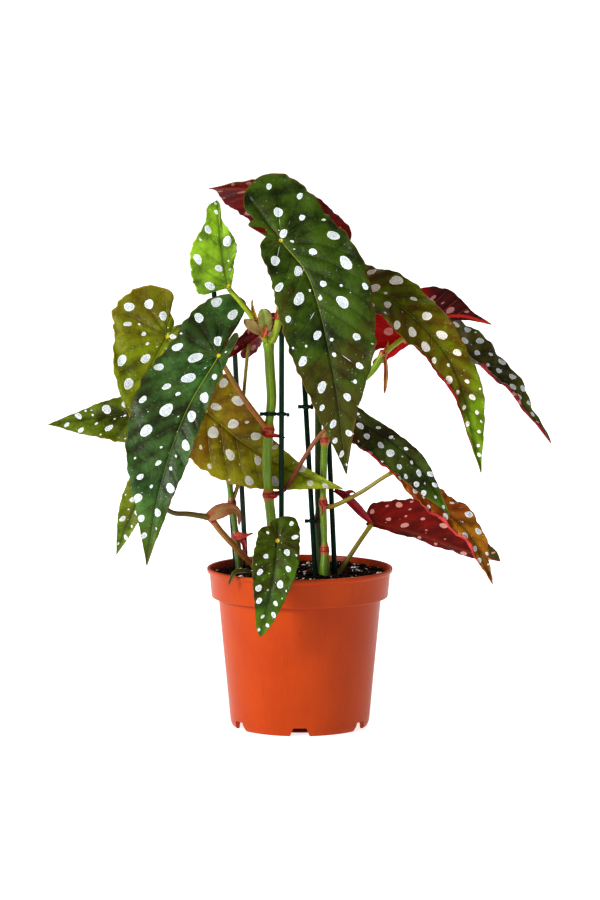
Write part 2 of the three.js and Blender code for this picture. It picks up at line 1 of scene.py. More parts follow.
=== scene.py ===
# %% [markdown]
# # A polka dot begonia in its nursery pot
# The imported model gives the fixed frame: where every leaf, stalk, stake and the pot stand.
# Each plain solid is then replaced by a finer piece of the same form, with its own finish.

# %% Load the frame
import math
import random
import bmesh
import bpy
import numpy as np
from mathutils import Matrix, Vector, noise


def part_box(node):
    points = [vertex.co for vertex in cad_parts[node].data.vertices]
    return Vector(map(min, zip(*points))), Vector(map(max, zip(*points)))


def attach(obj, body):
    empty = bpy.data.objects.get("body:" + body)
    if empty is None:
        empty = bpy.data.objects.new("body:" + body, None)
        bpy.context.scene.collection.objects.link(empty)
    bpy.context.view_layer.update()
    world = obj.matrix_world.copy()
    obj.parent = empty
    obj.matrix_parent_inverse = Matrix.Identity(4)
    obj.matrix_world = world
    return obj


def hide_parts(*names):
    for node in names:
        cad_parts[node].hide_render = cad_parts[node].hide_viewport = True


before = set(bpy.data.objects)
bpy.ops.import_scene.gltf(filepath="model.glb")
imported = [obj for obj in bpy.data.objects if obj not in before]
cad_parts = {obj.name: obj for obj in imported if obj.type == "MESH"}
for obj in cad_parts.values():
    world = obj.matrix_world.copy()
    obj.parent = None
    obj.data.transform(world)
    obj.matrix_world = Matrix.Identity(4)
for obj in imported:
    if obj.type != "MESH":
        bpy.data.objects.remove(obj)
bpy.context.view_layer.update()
scene = bpy.context.scene
MM = 0.001

# %% [markdown]
# ## Camera
# A long lens two metres away looks slightly down on the plant, as in a studio catalogue.
# The lens is set from the sensor's long side, so that the plant fills the upright picture.

# %% Camera
EYE = Vector((0.0001, -2.0, 0.382))
LOOK_DOWN = math.radians(5.8)
SENSOR, LENS = 36, 124.8       # mm, the sensor's long side and the focal length

camera_data = bpy.data.cameras.new("camera")
camera_data.sensor_fit = "VERTICAL"
camera_data.sensor_height = SENSOR
camera_data.lens = LENS
camera = bpy.data.objects.new("camera", camera_data)
camera.location = EYE
camera.rotation_euler = (math.pi / 2 - LOOK_DOWN, 0, 0)
scene.collection.objects.link(camera)
scene.camera = camera
print("camera at", tuple(EYE))

# %% [markdown]
# ## Finishes
# Every surface is painted by a small network of nodes. These helpers keep the networks short:
# each adds one node, and joins or sets what goes into it. A finish is built as a painter does it:
# a ground of two colours first, then coats, and a mask says how much of each coat stays.


# %% Helpers for node networks
def linear(colour):
    """A screen colour of three numbers up to 255, as the renderer's linear colour."""
    def channel(value):
        share = value / 255
        return share / 12.92 if share <= 0.04045 else ((share + 0.055) / 1.055) ** 2.4
    return (*[channel(value) for value in colour], 1.0)


def tinted(colour, gain, lift=0):
    """A screen colour made lighter or darker, within the screen's range."""
    return tuple(min(255, part * gain + lift) for part in colour)


def whole(colour):
    """A screen colour cut to whole numbers."""
    return tuple(int(part) for part in colour)


class Paint:
    """One material and its node network, with its shader ready and its colour laid in coats."""

    def __init__(self, name, roughness=0.5, gloss=0.5):
        self.skin = bpy.data.materials.new(name)
        self.skin.use_nodes = True
        self.tree = self.skin.node_tree
        self.shader = self.tree.nodes["Principled BSDF"]
        self.shader.inputs["Roughness"].default_value = roughness
        self.shader.inputs["Specular IOR Level"].default_value = gloss
        self.colour = None

    def join(self, value, socket):
        if isinstance(value, bpy.types.NodeSocket):
            self.tree.links.new(value, socket)
        elif isinstance(value, tuple) and len(value) == 3 and socket.type == "RGBA":
            socket.default_value = linear(value)
        else:
            socket.default_value = value

    def node(self, kind, settings=None, **inputs):
        made = self.tree.nodes.new("ShaderNode" + kind)
        for key, value in (settings or {}).items():
            setattr(made, key, value)
        for key, value in inputs.items():
            self.join(value, made.inputs[key.replace("_", " ")])
        return made

    def calc(self, operation, first, second=0.0):
        made = self.node("Math", {"operation": operation})
        self.join(first, made.inputs[0])
        self.join(second, made.inputs[1])
        return made.outputs[0]

    def times(self, first, second):
        return self.calc("MULTIPLY", first, second)

    def plus(self, first, second):
        return self.calc("ADD", first, second)

    def fade(self, value, start, end, low=0.0, high=1.0, shape="SMOOTHSTEP"):
        """A step from `low` at `start` to `high` at `end`, smooth unless told otherwise."""
        made = self.node("MapRange", {"interpolation_type": shape})
        for slot, entry in enumerate((value, start, end, low, high)):
            self.join(entry, made.inputs[slot])
        return made.outputs[0]

    def place(self):
        return self.node("TexCoord").outputs["Object"]

    def moved(self, vector, **settings):
        return self.node("Mapping", Vector=vector, **settings).outputs[0]

    def map(self, name):
        return self.node("UVMap", {"uv_map": name}).outputs["UV"]

    def parts(self, vector):
        made = self.node("SeparateXYZ", Vector=vector)
        return made.outputs["X"], made.outputs["Y"]

    def vector(self, x, y, z=0.0):
        return self.node("CombineXYZ", X=x, Y=y, Z=z).outputs[0]

    def reach(self, vector):
        made = self.node("VectorMath", {"operation": "LENGTH"}, Vector=vector)
        return made.outputs["Value"]

    def cloud(self, vector, scale, detail=2.0, roughness=0.5):
        made = self.node("TexNoise", Vector=vector, Scale=scale, Detail=detail, Roughness=roughness)
        return made.outputs[0]

    def mix(self, factor, first, second):
        made = self.node("Mix", {"data_type": "RGBA"})
        for slot, entry in ((0, factor), (6, first), (7, second)):
            self.join(entry, made.inputs[slot])
        return made.outputs[2]

    def ground(self, factor, first, second):
        """The first layer, which wanders between two colours."""
        self.colour = self.mix(factor, first, second)

    def coat(self, amount, colour):
        """One more layer of paint, which covers as much as `amount` says."""
        self.colour = self.mix(amount, self.colour, colour)

    def bump(self, height, strength, distance):
        made = self.node("Bump", Height=height, Strength=strength, Distance=distance)
        self.tree.links.new(made.outputs[0], self.shader.inputs["Normal"])

    def finish(self, roughness=None):
        self.join(self.colour, self.shader.inputs["Base Color"])
        if roughness is not None:
            self.join(roughness, self.shader.inputs["Roughness"])
        return self.skin


print("node helpers ready")

# %% [markdown]
# ## Studio
# The plant stands on a wide white floor that runs out into a white sky, so no horizon line shows
# behind it from any side. The floor glows: painted light that stands in for a lit table and keeps
# shadows faint. It glows more far out, where no lamp reaches, and not at all under the middle of
# the pot, where the light would shine out through the notches of the foot. A large soft lamp
# stands at the front left, and weaker ones fill the right and the back.

# %% Studio floor and lamps
FLOOR_RADIUS = 9.0
FLOOR_GREY = (196, 196, 196)
FLOOR_GLOW = (0.66, 1.1)         # painted glow near the pot and far out, where the lamps don't reach
GLOW_GROWS = (0.25, 1.4)         # metres from the pot between which the glow grows
DARK_PATCH = (0.029, 0.032)      # metres, inner and outer rim of the dark patch under the pot, where the painted glow stops
SKY_LIGHT, SKY_SEEN = 0.24, 1.05       # how strongly the sky lights the plant, and how it looks
PLANT_MIDDLE = Vector((0, 0, 0.2))
LAMPS = dict(       # place, disc size in metres, watts
    key_lamp=((-1.85, -1.5, 1.2), 0.9, 62),
    fill_lamp=((1.2, -2.0, 0.7), 1.2, 1.5),
    back_lamp=((0.5, 1.5, 1.5), 1.0, 16),
)

floor_paint = Paint("studio_white", 0.9, 0.0)
floor_paint.colour = FLOOR_GREY
from_pot = floor_paint.reach(floor_paint.place())
# the floor's painted light: a glow that grows away from the pot and stops under it
glow = floor_paint.times(floor_paint.fade(from_pot, *GLOW_GROWS, *FLOOR_GLOW, shape="LINEAR"),
                         floor_paint.fade(from_pot, *DARK_PATCH, shape="LINEAR"))
floor_paint.join((1, 1, 1, 1), floor_paint.shader.inputs["Emission Color"])
floor_paint.join(glow, floor_paint.shader.inputs["Emission Strength"])

floor_form = bmesh.new()
bmesh.ops.create_circle(floor_form, cap_ends=True, segments=96, radius=FLOOR_RADIUS)
floor_mesh = bpy.data.meshes.new("studio_floor")
floor_form.to_mesh(floor_mesh)
floor_form.free()
floor_mesh.materials.append(floor_paint.finish())
floor = bpy.data.objects.new("studio_floor", floor_mesh)
scene.collection.objects.link(floor)

for name, (place, size, watts) in LAMPS.items():
    lamp_data = bpy.data.lights.new(name, "AREA")
    lamp_data.shape = "DISK"
    lamp_data.size = size
    lamp_data.energy = watts
    lamp = bpy.data.objects.new(name, lamp_data)
    lamp.location = place
    lamp.rotation_euler = (PLANT_MIDDLE - Vector(place)).to_track_quat("-Z", "Y").to_euler()
    scene.collection.objects.link(lamp)

sky = bpy.data.worlds.new("white_sky")
sky.use_nodes = True
sky_nodes, sky_links = sky.node_tree.nodes, sky.node_tree.links
level = sky_nodes.new("ShaderNodeMapRange")
level.inputs["To Min"].default_value = SKY_LIGHT
level.inputs["To Max"].default_value = SKY_SEEN
sky_links.new(sky_nodes.new("ShaderNodeLightPath").outputs["Is Camera Ray"], level.inputs["Value"])
sky_links.new(level.outputs[0], sky_nodes["Background"].inputs["Strength"])
sky_nodes["Background"].inputs["Color"].default_value = (1, 1, 1, 1)
scene.world = sky
scene.view_settings.view_transform = "Standard"
scene.view_settings.look = "Medium High Contrast"
print("studio ready with", len(LAMPS), "lamps")

# %% [markdown]
# ## Pieces
# A piece is shaped in a bmesh, in its final place. `close` merges the points that meet and turns
# the faces outward, `spin_round` and `turned` are the potter's wheel, and `publish` makes the
# finished object, says which body it rides on and hides the plain solids it stands for.


# %% Helpers for shapes
MERGE = 1e-6       # metres


def linked_edges(verts):
    return list(dict.fromkeys(edge for vert in verts for edge in vert.link_edges))


def close(form):
    bmesh.ops.remove_doubles(form, verts=form.verts, dist=MERGE)
    bmesh.ops.recalc_face_normals(form, faces=form.faces)


def spin_round(form, verts, steps, centre=(0, 0, 0)):
    """Spins an outline once round the upright line through `centre`, and closes it there."""
    bmesh.ops.spin(form, geom=list(verts) + linked_edges(verts), cent=centre, axis=(0, 0, 1),
                   dvec=(0, 0, 0), angle=2 * math.pi, steps=steps, use_merge=True,
                   use_duplicate=False)


def turned(section, steps):
    """A turned solid from its half section, points of radius and height in mm."""
    form = bmesh.new()
    chain = [form.verts.new((radius * MM, 0, height * MM)) for radius, height in section]
    for pair in zip(chain, chain[1:]):
        form.edges.new(pair)
    spin_round(form, chain, steps)
    close(form)
    return form


def publish(name, form, skins, slot, *nodes):
    """Turns a bmesh into a smooth piece that rides on the plant and stands for CAD nodes."""
    mesh = bpy.data.meshes.new(name)
    form.to_mesh(mesh)
    form.free()
    mesh.shade_smooth()
    for skin in skins:
        mesh.materials.append(skin)
    piece = bpy.data.objects.new(name, mesh)
    scene.collection.objects.link(piece)
    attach(piece, "root")
    if nodes:
        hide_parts(*nodes)
    return piece


print("shape helpers ready")

# %% [markdown]
# ## Leaves: the shape
# A begonia's angel-wing leaf is lopsided: one half swings back past the stalk in a broad lobe.
# The margin of each half is a smooth curve drawn flat. A grid is stretched between the rib and
# that margin, and then bent onto the rib's curve in space, so every leaf is one formula with its
# own few numbers. They are the same numbers as in the solid, with a finer grid and finer waves.


# %% Curves read by their length
def unit(rows):
    return rows / np.linalg.norm(rows, axis=-1, keepdims=True)


class Path:
    """A smooth curve through points in mm, read by the share of its length."""

    def __init__(self, points):
        self.points = np.array([(*point, 0.0)[:3] for point in points], float)
        self.steps = np.linspace(0, 1, 201)
        walk = np.linalg.norm(np.diff(self.at_step(self.steps), axis=0), axis=1)
        self.walked = np.concatenate([[0.0], np.cumsum(walk)])
        self.length = self.walked[-1]

    def at_step(self, step):
        knots = self.points
        knots = np.vstack([2 * knots[0] - knots[1], knots, 2 * knots[-1] - knots[-2]])
        spans = len(self.points) - 1
        spot = np.clip(step, 0, 1) * spans
        first = np.minimum(spot.astype(int), spans - 1)
        f = (spot - first)[..., None]
        a, b, c, d = (knots[first + k] for k in range(4))
        leave, arrive = (c - a) / 2, (d - b) / 2
        bend = 3 * (c - b) - 2 * leave - arrive
        return b + f * leave + f ** 2 * bend + f ** 3 * (2 * (b - c) + leave + arrive)

    def step(self, share):
        return np.interp(np.asarray(share) * self.length, self.walked, self.steps)

    def at(self, share):
        return self.at_step(self.step(share))

    def tangent(self, share):
        step = self.step(share)
        ahead = self.at_step(np.clip(step + 1e-4, 0, 1))
        return unit(ahead - self.at_step(np.clip(step - 1e-4, 0, 1)))


# %% [markdown]
# The margin is drawn for each half on its own, from the stalk round the lobe to the tip. Bending
# keeps lengths: a point that lies 20 mm from the midrib on the flat leaf still lies 20 mm away
# along the curved skin, so the blade droops without being stretched.

# %% The flat margin and the bend onto the rib
def margin(sides, lap, bite, length, blunt):
    """One half's flat margin from the stalk to the tip: its lobe, four widths and the tip."""
    back, w0, w1, w2, w3 = sides
    return Path([
        (0, 0), (-0.36 * back, 0.02 * back), (-0.62 * back, 0.02 * back - lap),
        (-0.9 * back, 0.12 * w0 - lap / 2), (-back, 0.4 * w0), (-0.88 * back, 0.78 * w0),
        (-0.45 * back, (0.97 - bite) * w0), (0, w0), (length / 4, w1), (length / 2, w2),
        (length * 0.75, w3), (length * 0.92, w3 * blunt), (length, 0),
    ])


def dot(first, second):
    return np.sum(first * second, axis=-1, keepdims=True)


def bend(leaf, along, across, rise):
    """Puts flat points onto the bent blade, `rise` mm above its middle surface."""
    rib = leaf["path"]
    u = np.clip(along / rib.length, 0, 1)
    place, tangent = rib.at(u), rib.tangent(u)
    base, tip = (np.array(way, float) for way in leaf["up"])
    up = base + (tip - base) * u[:, None]
    up = unit(up - tangent * dot(up, tangent))
    curl = math.radians(leaf["curl"])
    turn = (np.maximum(-along, 0) * curl)[:, None]
    place = place - tangent * np.sin(turn) / curl + up * (np.cos(turn) - 1) / curl
    tangent, up = (tangent * np.cos(turn) + up * np.sin(turn),
                   up * np.cos(turn) - tangent * np.sin(turn))
    outward = np.cross(up, tangent) * leaf["hand"]
    narrow = across < 0
    fold, droop = (np.radians(np.where(narrow, leaf[key][1], leaf[key][0]))
                   for key in ("fold", "droop"))
    end = fold - droop * np.abs(across)
    out = (np.sin(fold) - np.sin(end)) / droop * np.sign(across)
    lift = (np.cos(end) - np.cos(fold)) / droop + rise
    return place + outward * out[:, None] + up * lift[:, None]


# %% [markdown]
# Side veins leave the midrib slanting forward, and behind the stalk they fan out from the joint
# into the lobe. `vein_count` counts them: whole numbers are veins, and the skin between two veins
# is puckered up.

# %% Veins
VEIN_SLANT = 1.05      # how far a side vein runs forward for each mm outward
LOBE_SLANT = 0.25      # and how far it runs back, behind the stalk
FAN_STEP = math.radians(27)


def vein_root(along, across):
    """Where on the midrib the vein through a flat point starts."""
    forward = np.clip((along + 30) / 40, 0, 1)
    slant = VEIN_SLANT * forward - LOBE_SLANT * (1 - forward)
    return along - slant * np.abs(across)


def vein_count(along, across, gap):
    from_rib = (along - VEIN_SLANT * np.abs(across)) / gap
    angle = np.arctan2(np.abs(across), along)
    first = math.atan2(1.0, VEIN_SLANT)
    return np.where(angle < first, from_rib, (first - angle) / FAN_STEP)


# %% [markdown]
# The silver spots are laid one by one by a seeded draw. A spot stays only where it keeps clear of
# the margin, the midrib and the spots before it. So they spread evenly, as on the plant, and get
# smaller and closer towards the tip, where the cell that a spot needs shrinks.

# %% Where the silver spots lie
BIG, SMALL = (0.155, 0.23), (0.045, 0.085)     # radii as a share of the cell
BIG_WANTED = 500               # more than ever fit, so that large spots fill the blade
SMALL_GAP = 0.5                # least distance round a small spot, as a share of the cell
TRIES = 5                      # draws for each spot that is wanted
DWARF_CHANCE, DWARF = 0.22, 0.62       # some large spots stay this much smaller
SPOT_ASPECT = (1.15, 1.6)      # a spot is an oval along the veins
SPOT_CLEAR = 1.2               # mm between the rims of two spots
TIP_SHRINK = 0.60              # how much smaller a cell is at the tip
CROWD_FROM, CROWD = 0.7, 0.55  # past this share of the rib, spots need less room to the margin
NO_SPOT_NEAR = 20.0            # mm


def cell_size(leaf, along, length):
    """The room for one spot in mm: it shrinks towards the tip."""
    shrink = np.clip((along / length - 0.5) / 0.5, 0, 1) ** 1.4
    return leaf["cell"] * (1 - TIP_SHRINK * shrink)


def inside(outline, point):
    """Whether a flat point lies inside a closed outline, by counting crossings."""
    x, y = outline[:, 0], outline[:, 1]
    x2, y2 = np.roll(x, -1), np.roll(y, -1)
    crosses = (y > point[1]) != (y2 > point[1])
    at = x + (point[1] - y) * (x2 - x) / np.where(y2 == y, 1e-9, y2 - y)
    return np.count_nonzero(crosses & (at > point[0])) % 2 == 1


def lay_spots(leaf, edges, length, seed):
    """Spots as (along, across, radius, aspect, turn), clear of the margin and the midrib."""
    draw = random.Random(100 + seed)
    flats = [edge.at(np.linspace(0, 1, 160))[:, :2] for edge in edges]
    outlines = [np.column_stack([flat[:, 0], np.abs(flat[:, 1])]) for flat in flats]
    laid = []
    for radii, wanted, gap in ((BIG, BIG_WANTED, leaf["spread"]), (SMALL, leaf["few"], SMALL_GAP)):
        for _ in range(wanted * TRIES):
            half = draw.randrange(2)
            outline = outlines[half]
            spot = np.array((draw.uniform(outline[:, 0].min(), length),
                             draw.uniform(0, outline[:, 1].max())))
            cell = cell_size(leaf, spot[0], length)
            radius = cell * draw.uniform(*radii)
            if draw.random() < DWARF_CHANCE and radii is BIG:
                radius *= DWARF
            spare = 1.0 if spot[0] < CROWD_FROM * length else CROWD
            if not inside(outline, spot) or spot[1] < (radius * 0.9 + 0.9) * spare:
                continue
            if np.hypot(*(outline - spot).T).min() < (radius * 1.05 + 0.7) * spare:
                continue
            where = spot * (1, 1 - 2 * half)
            if all(math.dist(where, old[:2]) > max(
                    gap * cell * (1.0 if old[2] > SMALL[1] * cell else 0.5),
                    radius + old[2] + SPOT_CLEAR) for old in laid):
                laid.append((*where, radius, draw.uniform(*SPOT_ASPECT), draw.uniform(0, 6.28)))
    return laid


def spot_field(laid, along, across):
    """How far each flat point is from the rim of the nearest spot, in mm; minus is inside."""
    nearest = np.full(len(along), NO_SPOT_NEAR)
    for x, y, radius, aspect, turn in laid:
        lean = unit(np.array((1.4, np.sign(y)) if x > 0 else (x, y)))
        u = ((along - x) * lean[0] + (across - y) * lean[1]) / math.sqrt(aspect)
        v = ((across - y) * lean[0] - (along - x) * lean[1]) * math.sqrt(aspect)
        way = np.arctan2(v, u)
        rim = radius * (1 + 0.07 * np.sin(2 * way + turn) + 0.05 * np.sin(3 * way + 2 * turn))
        nearest = np.minimum(nearest, np.hypot(u, v) - rim)
    return nearest


# %% [markdown]
# The blade is one grid. Its relief is worked out flat: puckers between the veins, a groove over
# the midrib, waves that grow towards the margin, fine teeth, and on some leaves a margin that
# curls over. The grid also carries maps, so that the finish can follow veins and spots.

# %% A leaf blade from one grid
TOOTH = (0.018, 0.012)     # the margin's fine teeth, as shares of the width
RUFFLE = 0.45              # the short waves of the margin, as a share of the long ones
GROOVE = (0.55, 1.3)       # mm, depth and half width of the groove over the midrib
CURL_RISE = 1.3            # mm that a curled margin stands above the blade


def curled(leaf, t, share, facing):
    """How far the margin is curled over, as a share of the half's width."""
    side, depth, start, end = leaf["roll"]
    window = np.clip((t - start) * 12, 0, 1) * np.clip((end - t) * 12, 0, 1)
    turn_at = 1 - depth * window * (0.75 + 0.25 * np.sin(9 * np.pi * t)) * (facing == side)
    return np.maximum(share - turn_at, 0)


def relief(leaf, t, share, facing, along, across, veins):
    """How far each point stands off the smooth blade, in mm."""
    to_tip = leaf["path"].length - along
    valley = np.abs(veins - np.round(veins)) * 2
    off_rib = np.clip(np.hypot(across, np.minimum(along, 0)) / 9, 0, 1)
    away = off_rib * np.clip(to_tip / 25, 0, 1)
    pucker = leaf["pucker"] * (np.sqrt(valley) - 0.6) * away * (1 - share ** 4)
    groove = -GROOVE[0] * np.exp(-(across / GROOVE[1]) ** 2) * np.clip(to_tip / 30, 0, 1)
    height, waves = leaf["wave"]
    wave = height * share ** 2 * np.sin(2 * np.pi * waves * t + 3 * facing * share)
    ruffle = RUFFLE * height * share ** 4 * np.sin(2 * np.pi * waves * 2.7 * t + facing)
    return (pucker + groove + wave + ruffle) * np.sin(np.pi * np.clip(t, 0, 1)) ** 0.3


def make_blade(name, leaf, rows, columns, thick, skins, slot, *nodes, seed=0):
    """A grid stretched over the flat leaf, bent onto its rib and given a thin wall."""
    rib = leaf["path"] = Path(leaf["rib"])
    form = bmesh.new()
    bmesh.ops.create_grid(form, x_segments=rows, y_segments=2 * columns, size=0.5)
    flat = np.array([vert.co[:2] for vert in form.verts])
    t = np.round((flat[:, 0] + 0.5) * rows) / rows
    side = np.round(flat[:, 1] * 2 * columns) / columns
    share, facing = np.abs(side), np.sign(side)
    edges = [margin(leaf["broad"], leaf["lap"], 0, rib.length, leaf["blunt"]),
             margin(leaf["narrow"], 0, leaf["bite"], rib.length, leaf["blunt"])]
    edge = np.where((facing < 0)[:, None], edges[1].at(t), edges[0].at(t))
    teeth = t * leaf["wave"][1]
    tooth = 1 + TOOTH[0] * np.sin(teeth * 23 + facing) + TOOTH[1] * np.sin(teeth * 41)
    over = curled(leaf, t, share, facing)
    reach = share - 2 * over
    along = rib.length * t ** 1.5 * (1 - reach) + edge[:, 0] * reach
    across = edge[:, 1] * reach * facing * np.where(share > 0.9, tooth, 1)
    veins = vein_count(along, across, leaf["gap"])
    rise = relief(leaf, t, share, facing, along, across, veins)
    places = bend(leaf, along, across, rise + CURL_RISE * (1 - np.exp(-over / 0.02))) * MM
    laid = lay_spots(leaf, edges, rib.length, seed) if nodes else []
    cells = np.stack([vein_root(along, across), across], -1)
    maps = {
        "spots": np.stack([spot_field(laid, along, across) / 10, share], -1),
        "cells": cells / cell_size(leaf, along, rib.length)[:, None],
        "shape": np.stack([along / rib.length, share], -1),
        "veins": np.stack([veins, across / 20], -1),
    }
    layers = {key: form.loops.layers.uv.new(key) for key in maps}
    for face in form.faces:
        for loop in face.loops:
            for key, layer in layers.items():
                loop[layer].uv = maps[key][loop.vert.index]
    for vert, place in zip(form.verts, places):
        vert.co = place
    ends_of_rib = [vert for vert, at in zip(form.verts, t) if at in (0, 1)]
    bmesh.ops.remove_doubles(form, verts=ends_of_rib, dist=MERGE)
    if leaf["hand"] < 0:
        bmesh.ops.reverse_faces(form, faces=form.faces)
    piece = publish(name, form, skins, slot, *nodes)
    wall = piece.modifiers.new("thickness", "SOLIDIFY")
    wall.thickness = thick * MM
    wall.offset = 0
    wall.material_offset = 1
    wall.material_offset_rim = 2
    leaf["spots"] = len(laid)
    return piece


# %% [markdown]
# ## Leaves: the finish
# The upper face is green, clouded with olive brown where the leaf is older, with a thin yellow
# midrib and silvery oval spots. The under face is crimson with the spots dull pink. The grid's
# "spots" map holds the distance to the nearest spot, so the finish only has to draw its rim. A
# few dots finer than the grid come from a cell pattern on the "cells" map.


# %% The masks of spots and veins
DOTS = (4.3, 0.06, 0.12, 0.965)        # cells a unit, smallest and largest radius, share left out
RAGGED = 0.9                           # mm that a spot's rim wanders


def spots(paint, seed):
    """A mask of the silver spots, with ragged rims, and of a few dots between them."""
    reach, edge = paint.parts(paint.map("spots"))
    torn = paint.calc("SUBTRACT", paint.cloud(paint.place(), 1000, 2.0, 0.7), 0.5)
    reach = paint.plus(paint.times(reach, 10.0), paint.times(torn, RAGGED))
    scale, small, large, left_out = DOTS
    x, y = paint.parts(paint.map("cells"))
    where = paint.vector(paint.times(x, scale), paint.times(y, scale), seed + 0.5)
    net = paint.node("TexVoronoi", {"voronoi_dimensions": "2D", "feature": "F1"},
                     Vector=where, Scale=1.0)
    chance, size = paint.parts(net.outputs["Color"])
    close_by = paint.calc("DIVIDE", net.outputs["Distance"], paint.fade(size, 0, 1, small, large))
    shown = paint.calc("GREATER_THAN", chance, left_out)
    dotted = paint.times(paint.fade(close_by, 1.15, 0.85), shown)
    mask = paint.calc("MAXIMUM", paint.fade(reach, 0.10, -0.16), dotted)
    return paint.times(mask, paint.fade(edge, 0.99, 0.96))


class Veins:
    """Masks of a leaf's veins, as numbers that its finishes mix by."""

    def __init__(self, paint, length):
        count, across = paint.parts(paint.map("veins"))
        self.share, self.edge = paint.parts(paint.map("shape"))
        self.across = paint.times(paint.calc("ABSOLUTE", across), 20.0)      # mm
        along = paint.times(self.share, length)
        self.ahead = paint.fade(along, -1.0, 0.5)
        self.from_joint = paint.reach(paint.vector(self.across, along))
        whole_part = paint.calc("FRACT", paint.plus(count, 0.5))
        self.off = paint.calc("ABSOLUTE", paint.calc("SUBTRACT", whole_part, 0.5))
        fading = paint.fade(self.edge, 1.0, 0.45)
        self.line = paint.times(paint.fade(self.off, 0.045, 0.0), fading)
        # `valley` hugs the side veins and `ridge` lies on the puckers between them; the upper face
        # paints shade into the first and a highlight onto the second
        self.valley = paint.times(paint.fade(self.off, 0.20, 0.0), fading)
        self.ridge = paint.fade(self.off, 0.16, 0.44)


# %% [markdown]
# The coats go on in the order in which they lie on the leaf: the mottled green skin, the veins
# over it and the silver on top. The under face needs fewer, since it is mostly in shade.

# %% Upper and under face of a leaf
SILVER = (228, 233, 234)
HATCH = (160, 170, 172)
MIDRIB = (132, 144, 30)
JOINT_DOT = (206, 190, 40)
LEAF_GLOSS, UNDER_GLOSS = 0.20, 0.12       # specular level of the waxy skin
SKIN_BUMP = (0.45, 0.0005)                 # strength and height, for both faces


def leaf_top(leaf, seed, length):
    """`green` is (dark, light, warm, tip); `warmth` says how much of the blade is olive brown."""
    paint = Paint("leaf_top_" + leaf["name"], gloss=LEAF_GLOSS)
    dark, light, warm, tip = leaf["green"]
    dark, light = tinted(dark, 0.84), tinted(light, 1.14)
    # the dark colour of the painted shade in the vein valleys and the midrib's groove
    shade = whole(tinted(dark, 0.45))
    pale = (*whole(tinted(light[:2], 1.1, 10)), light[2])
    rim = (*whole(tinted(warm[:2], 1.35, 12)), warm[2])
    midrib = leaf.get("midrib", pale)
    spot = paint.place()
    veins = Veins(paint, length)

    # the blade: two greens, warm patches, a fine mottle and a paler tip
    clouds = paint.cloud(spot, 42, 5.0, 0.62)
    paint.ground(paint.fade(clouds, 0.38, 0.62), dark, light)
    warmth, warm_from, warm_to = leaf["warmth"]
    patches = paint.cloud(paint.moved(spot, Location=(seed, 3, 1)), 30, 4.0, 0.6)
    lean = paint.fade(veins.share, warm_from, warm_to, 0.12, -0.12)
    paint.coat(paint.fade(paint.plus(patches, lean), 0.45, 0.62, 0.0, warmth), warm)
    mottle = paint.cloud(spot, 115, 4.0, 0.62)
    paint.coat(paint.fade(mottle, 0.46, 0.34, 0.0, 0.42), tinted(dark, 0.6))
    paint.coat(paint.fade(mottle, 0.56, 0.68, 0.0, 0.30), tinted(light, 1.2))
    paint.coat(paint.fade(veins.share, leaf["tip_from"], 1.0, 0.0, 0.85), tip)

    # the veins: painted highlight on the puckers, painted shade in the valleys, pale hairs, the
    # rim, the midrib and painted shade in its groove
    paint.coat(paint.times(veins.ridge, 0.22), light)
    paint.coat(paint.times(veins.valley, 0.28), shade)
    hair = paint.cloud(paint.map("cells"), 7.0, 3.0, 0.7)
    paint.coat(paint.times(veins.line, paint.fade(hair, 0.46, 0.62, 0.05, 0.5)), pale)
    paint.coat(paint.fade(veins.edge, 0.965, 1.0, 0.0, 0.75), rim)
    paint.coat(paint.times(paint.fade(veins.off, 0.05, 0.0),
                           paint.fade(veins.from_joint, 17.0, 3.0, 0.0, 0.75)), midrib)
    # painted shade in the groove over the midrib
    groove = paint.fade(veins.across, 2.6, 0.6, 0.0, 0.40)
    paint.coat(paint.times(groove, veins.ahead), shade)
    rib_half = paint.fade(veins.share, 0.0, 0.9, 0.50, 0.26)
    rib = paint.fade(paint.calc("DIVIDE", veins.across, rib_half), 1.15, 0.6)
    strength = leaf["ribbed"]
    rib = paint.times(rib, paint.fade(veins.share, 0.55, 0.05, 0.25 * strength, strength))
    paint.coat(paint.times(rib, veins.ahead), midrib)

    # the silver: torn streaks along some veins, fine dust, and the spots with their hatching
    torn = paint.cloud(paint.map("cells"), 1.1, 1.0, 0.5)
    paint.coat(paint.times(veins.line, paint.fade(torn, 0.64, 0.69, 0.0, leaf["streak"])), SILVER)
    speckle = paint.node("TexVoronoi", Vector=spot, Scale=430.0)
    few = paint.calc("GREATER_THAN", paint.parts(speckle.outputs["Color"])[0], 0.80)
    paint.coat(paint.times(paint.fade(speckle.outputs["Distance"], 0.22, 0.10, 0.0, 0.20), few),
               SILVER)
    mask = spots(paint, seed)
    hatch = paint.cloud(paint.moved(spot, Scale=(1.0, 1.0, 0.35)), 2100, 2.0, 0.7)
    within = paint.fade(paint.parts(paint.map("spots"))[0], -0.02, -0.07)
    hatched = paint.times(paint.fade(hatch, 0.40, 0.60, 0.1, 0.95), within)
    paint.coat(mask, paint.mix(hatched, leaf["silver"], leaf["hatch"]))
    paint.coat(paint.fade(veins.from_joint, 1.7, 1.0, 0.0, 0.95), JOINT_DOT)

    # the relief: grain and small cells, sunk veins, spots slightly raised
    grain = paint.cloud(spot, 620, 3.0, 0.6)
    cells = paint.node("TexVoronoi", {"feature": "DISTANCE_TO_EDGE"}, Vector=spot, Scale=300.0)
    height = paint.plus(paint.times(grain, 0.6), paint.times(cells.outputs[0], 1.2))
    height = paint.calc("SUBTRACT", height, paint.times(veins.line, 0.8))
    paint.bump(paint.plus(height, paint.times(mask, 0.25)), *SKIN_BUMP)
    return paint.finish(paint.fade(clouds, 0.3, 0.7, 0.40, 0.54))


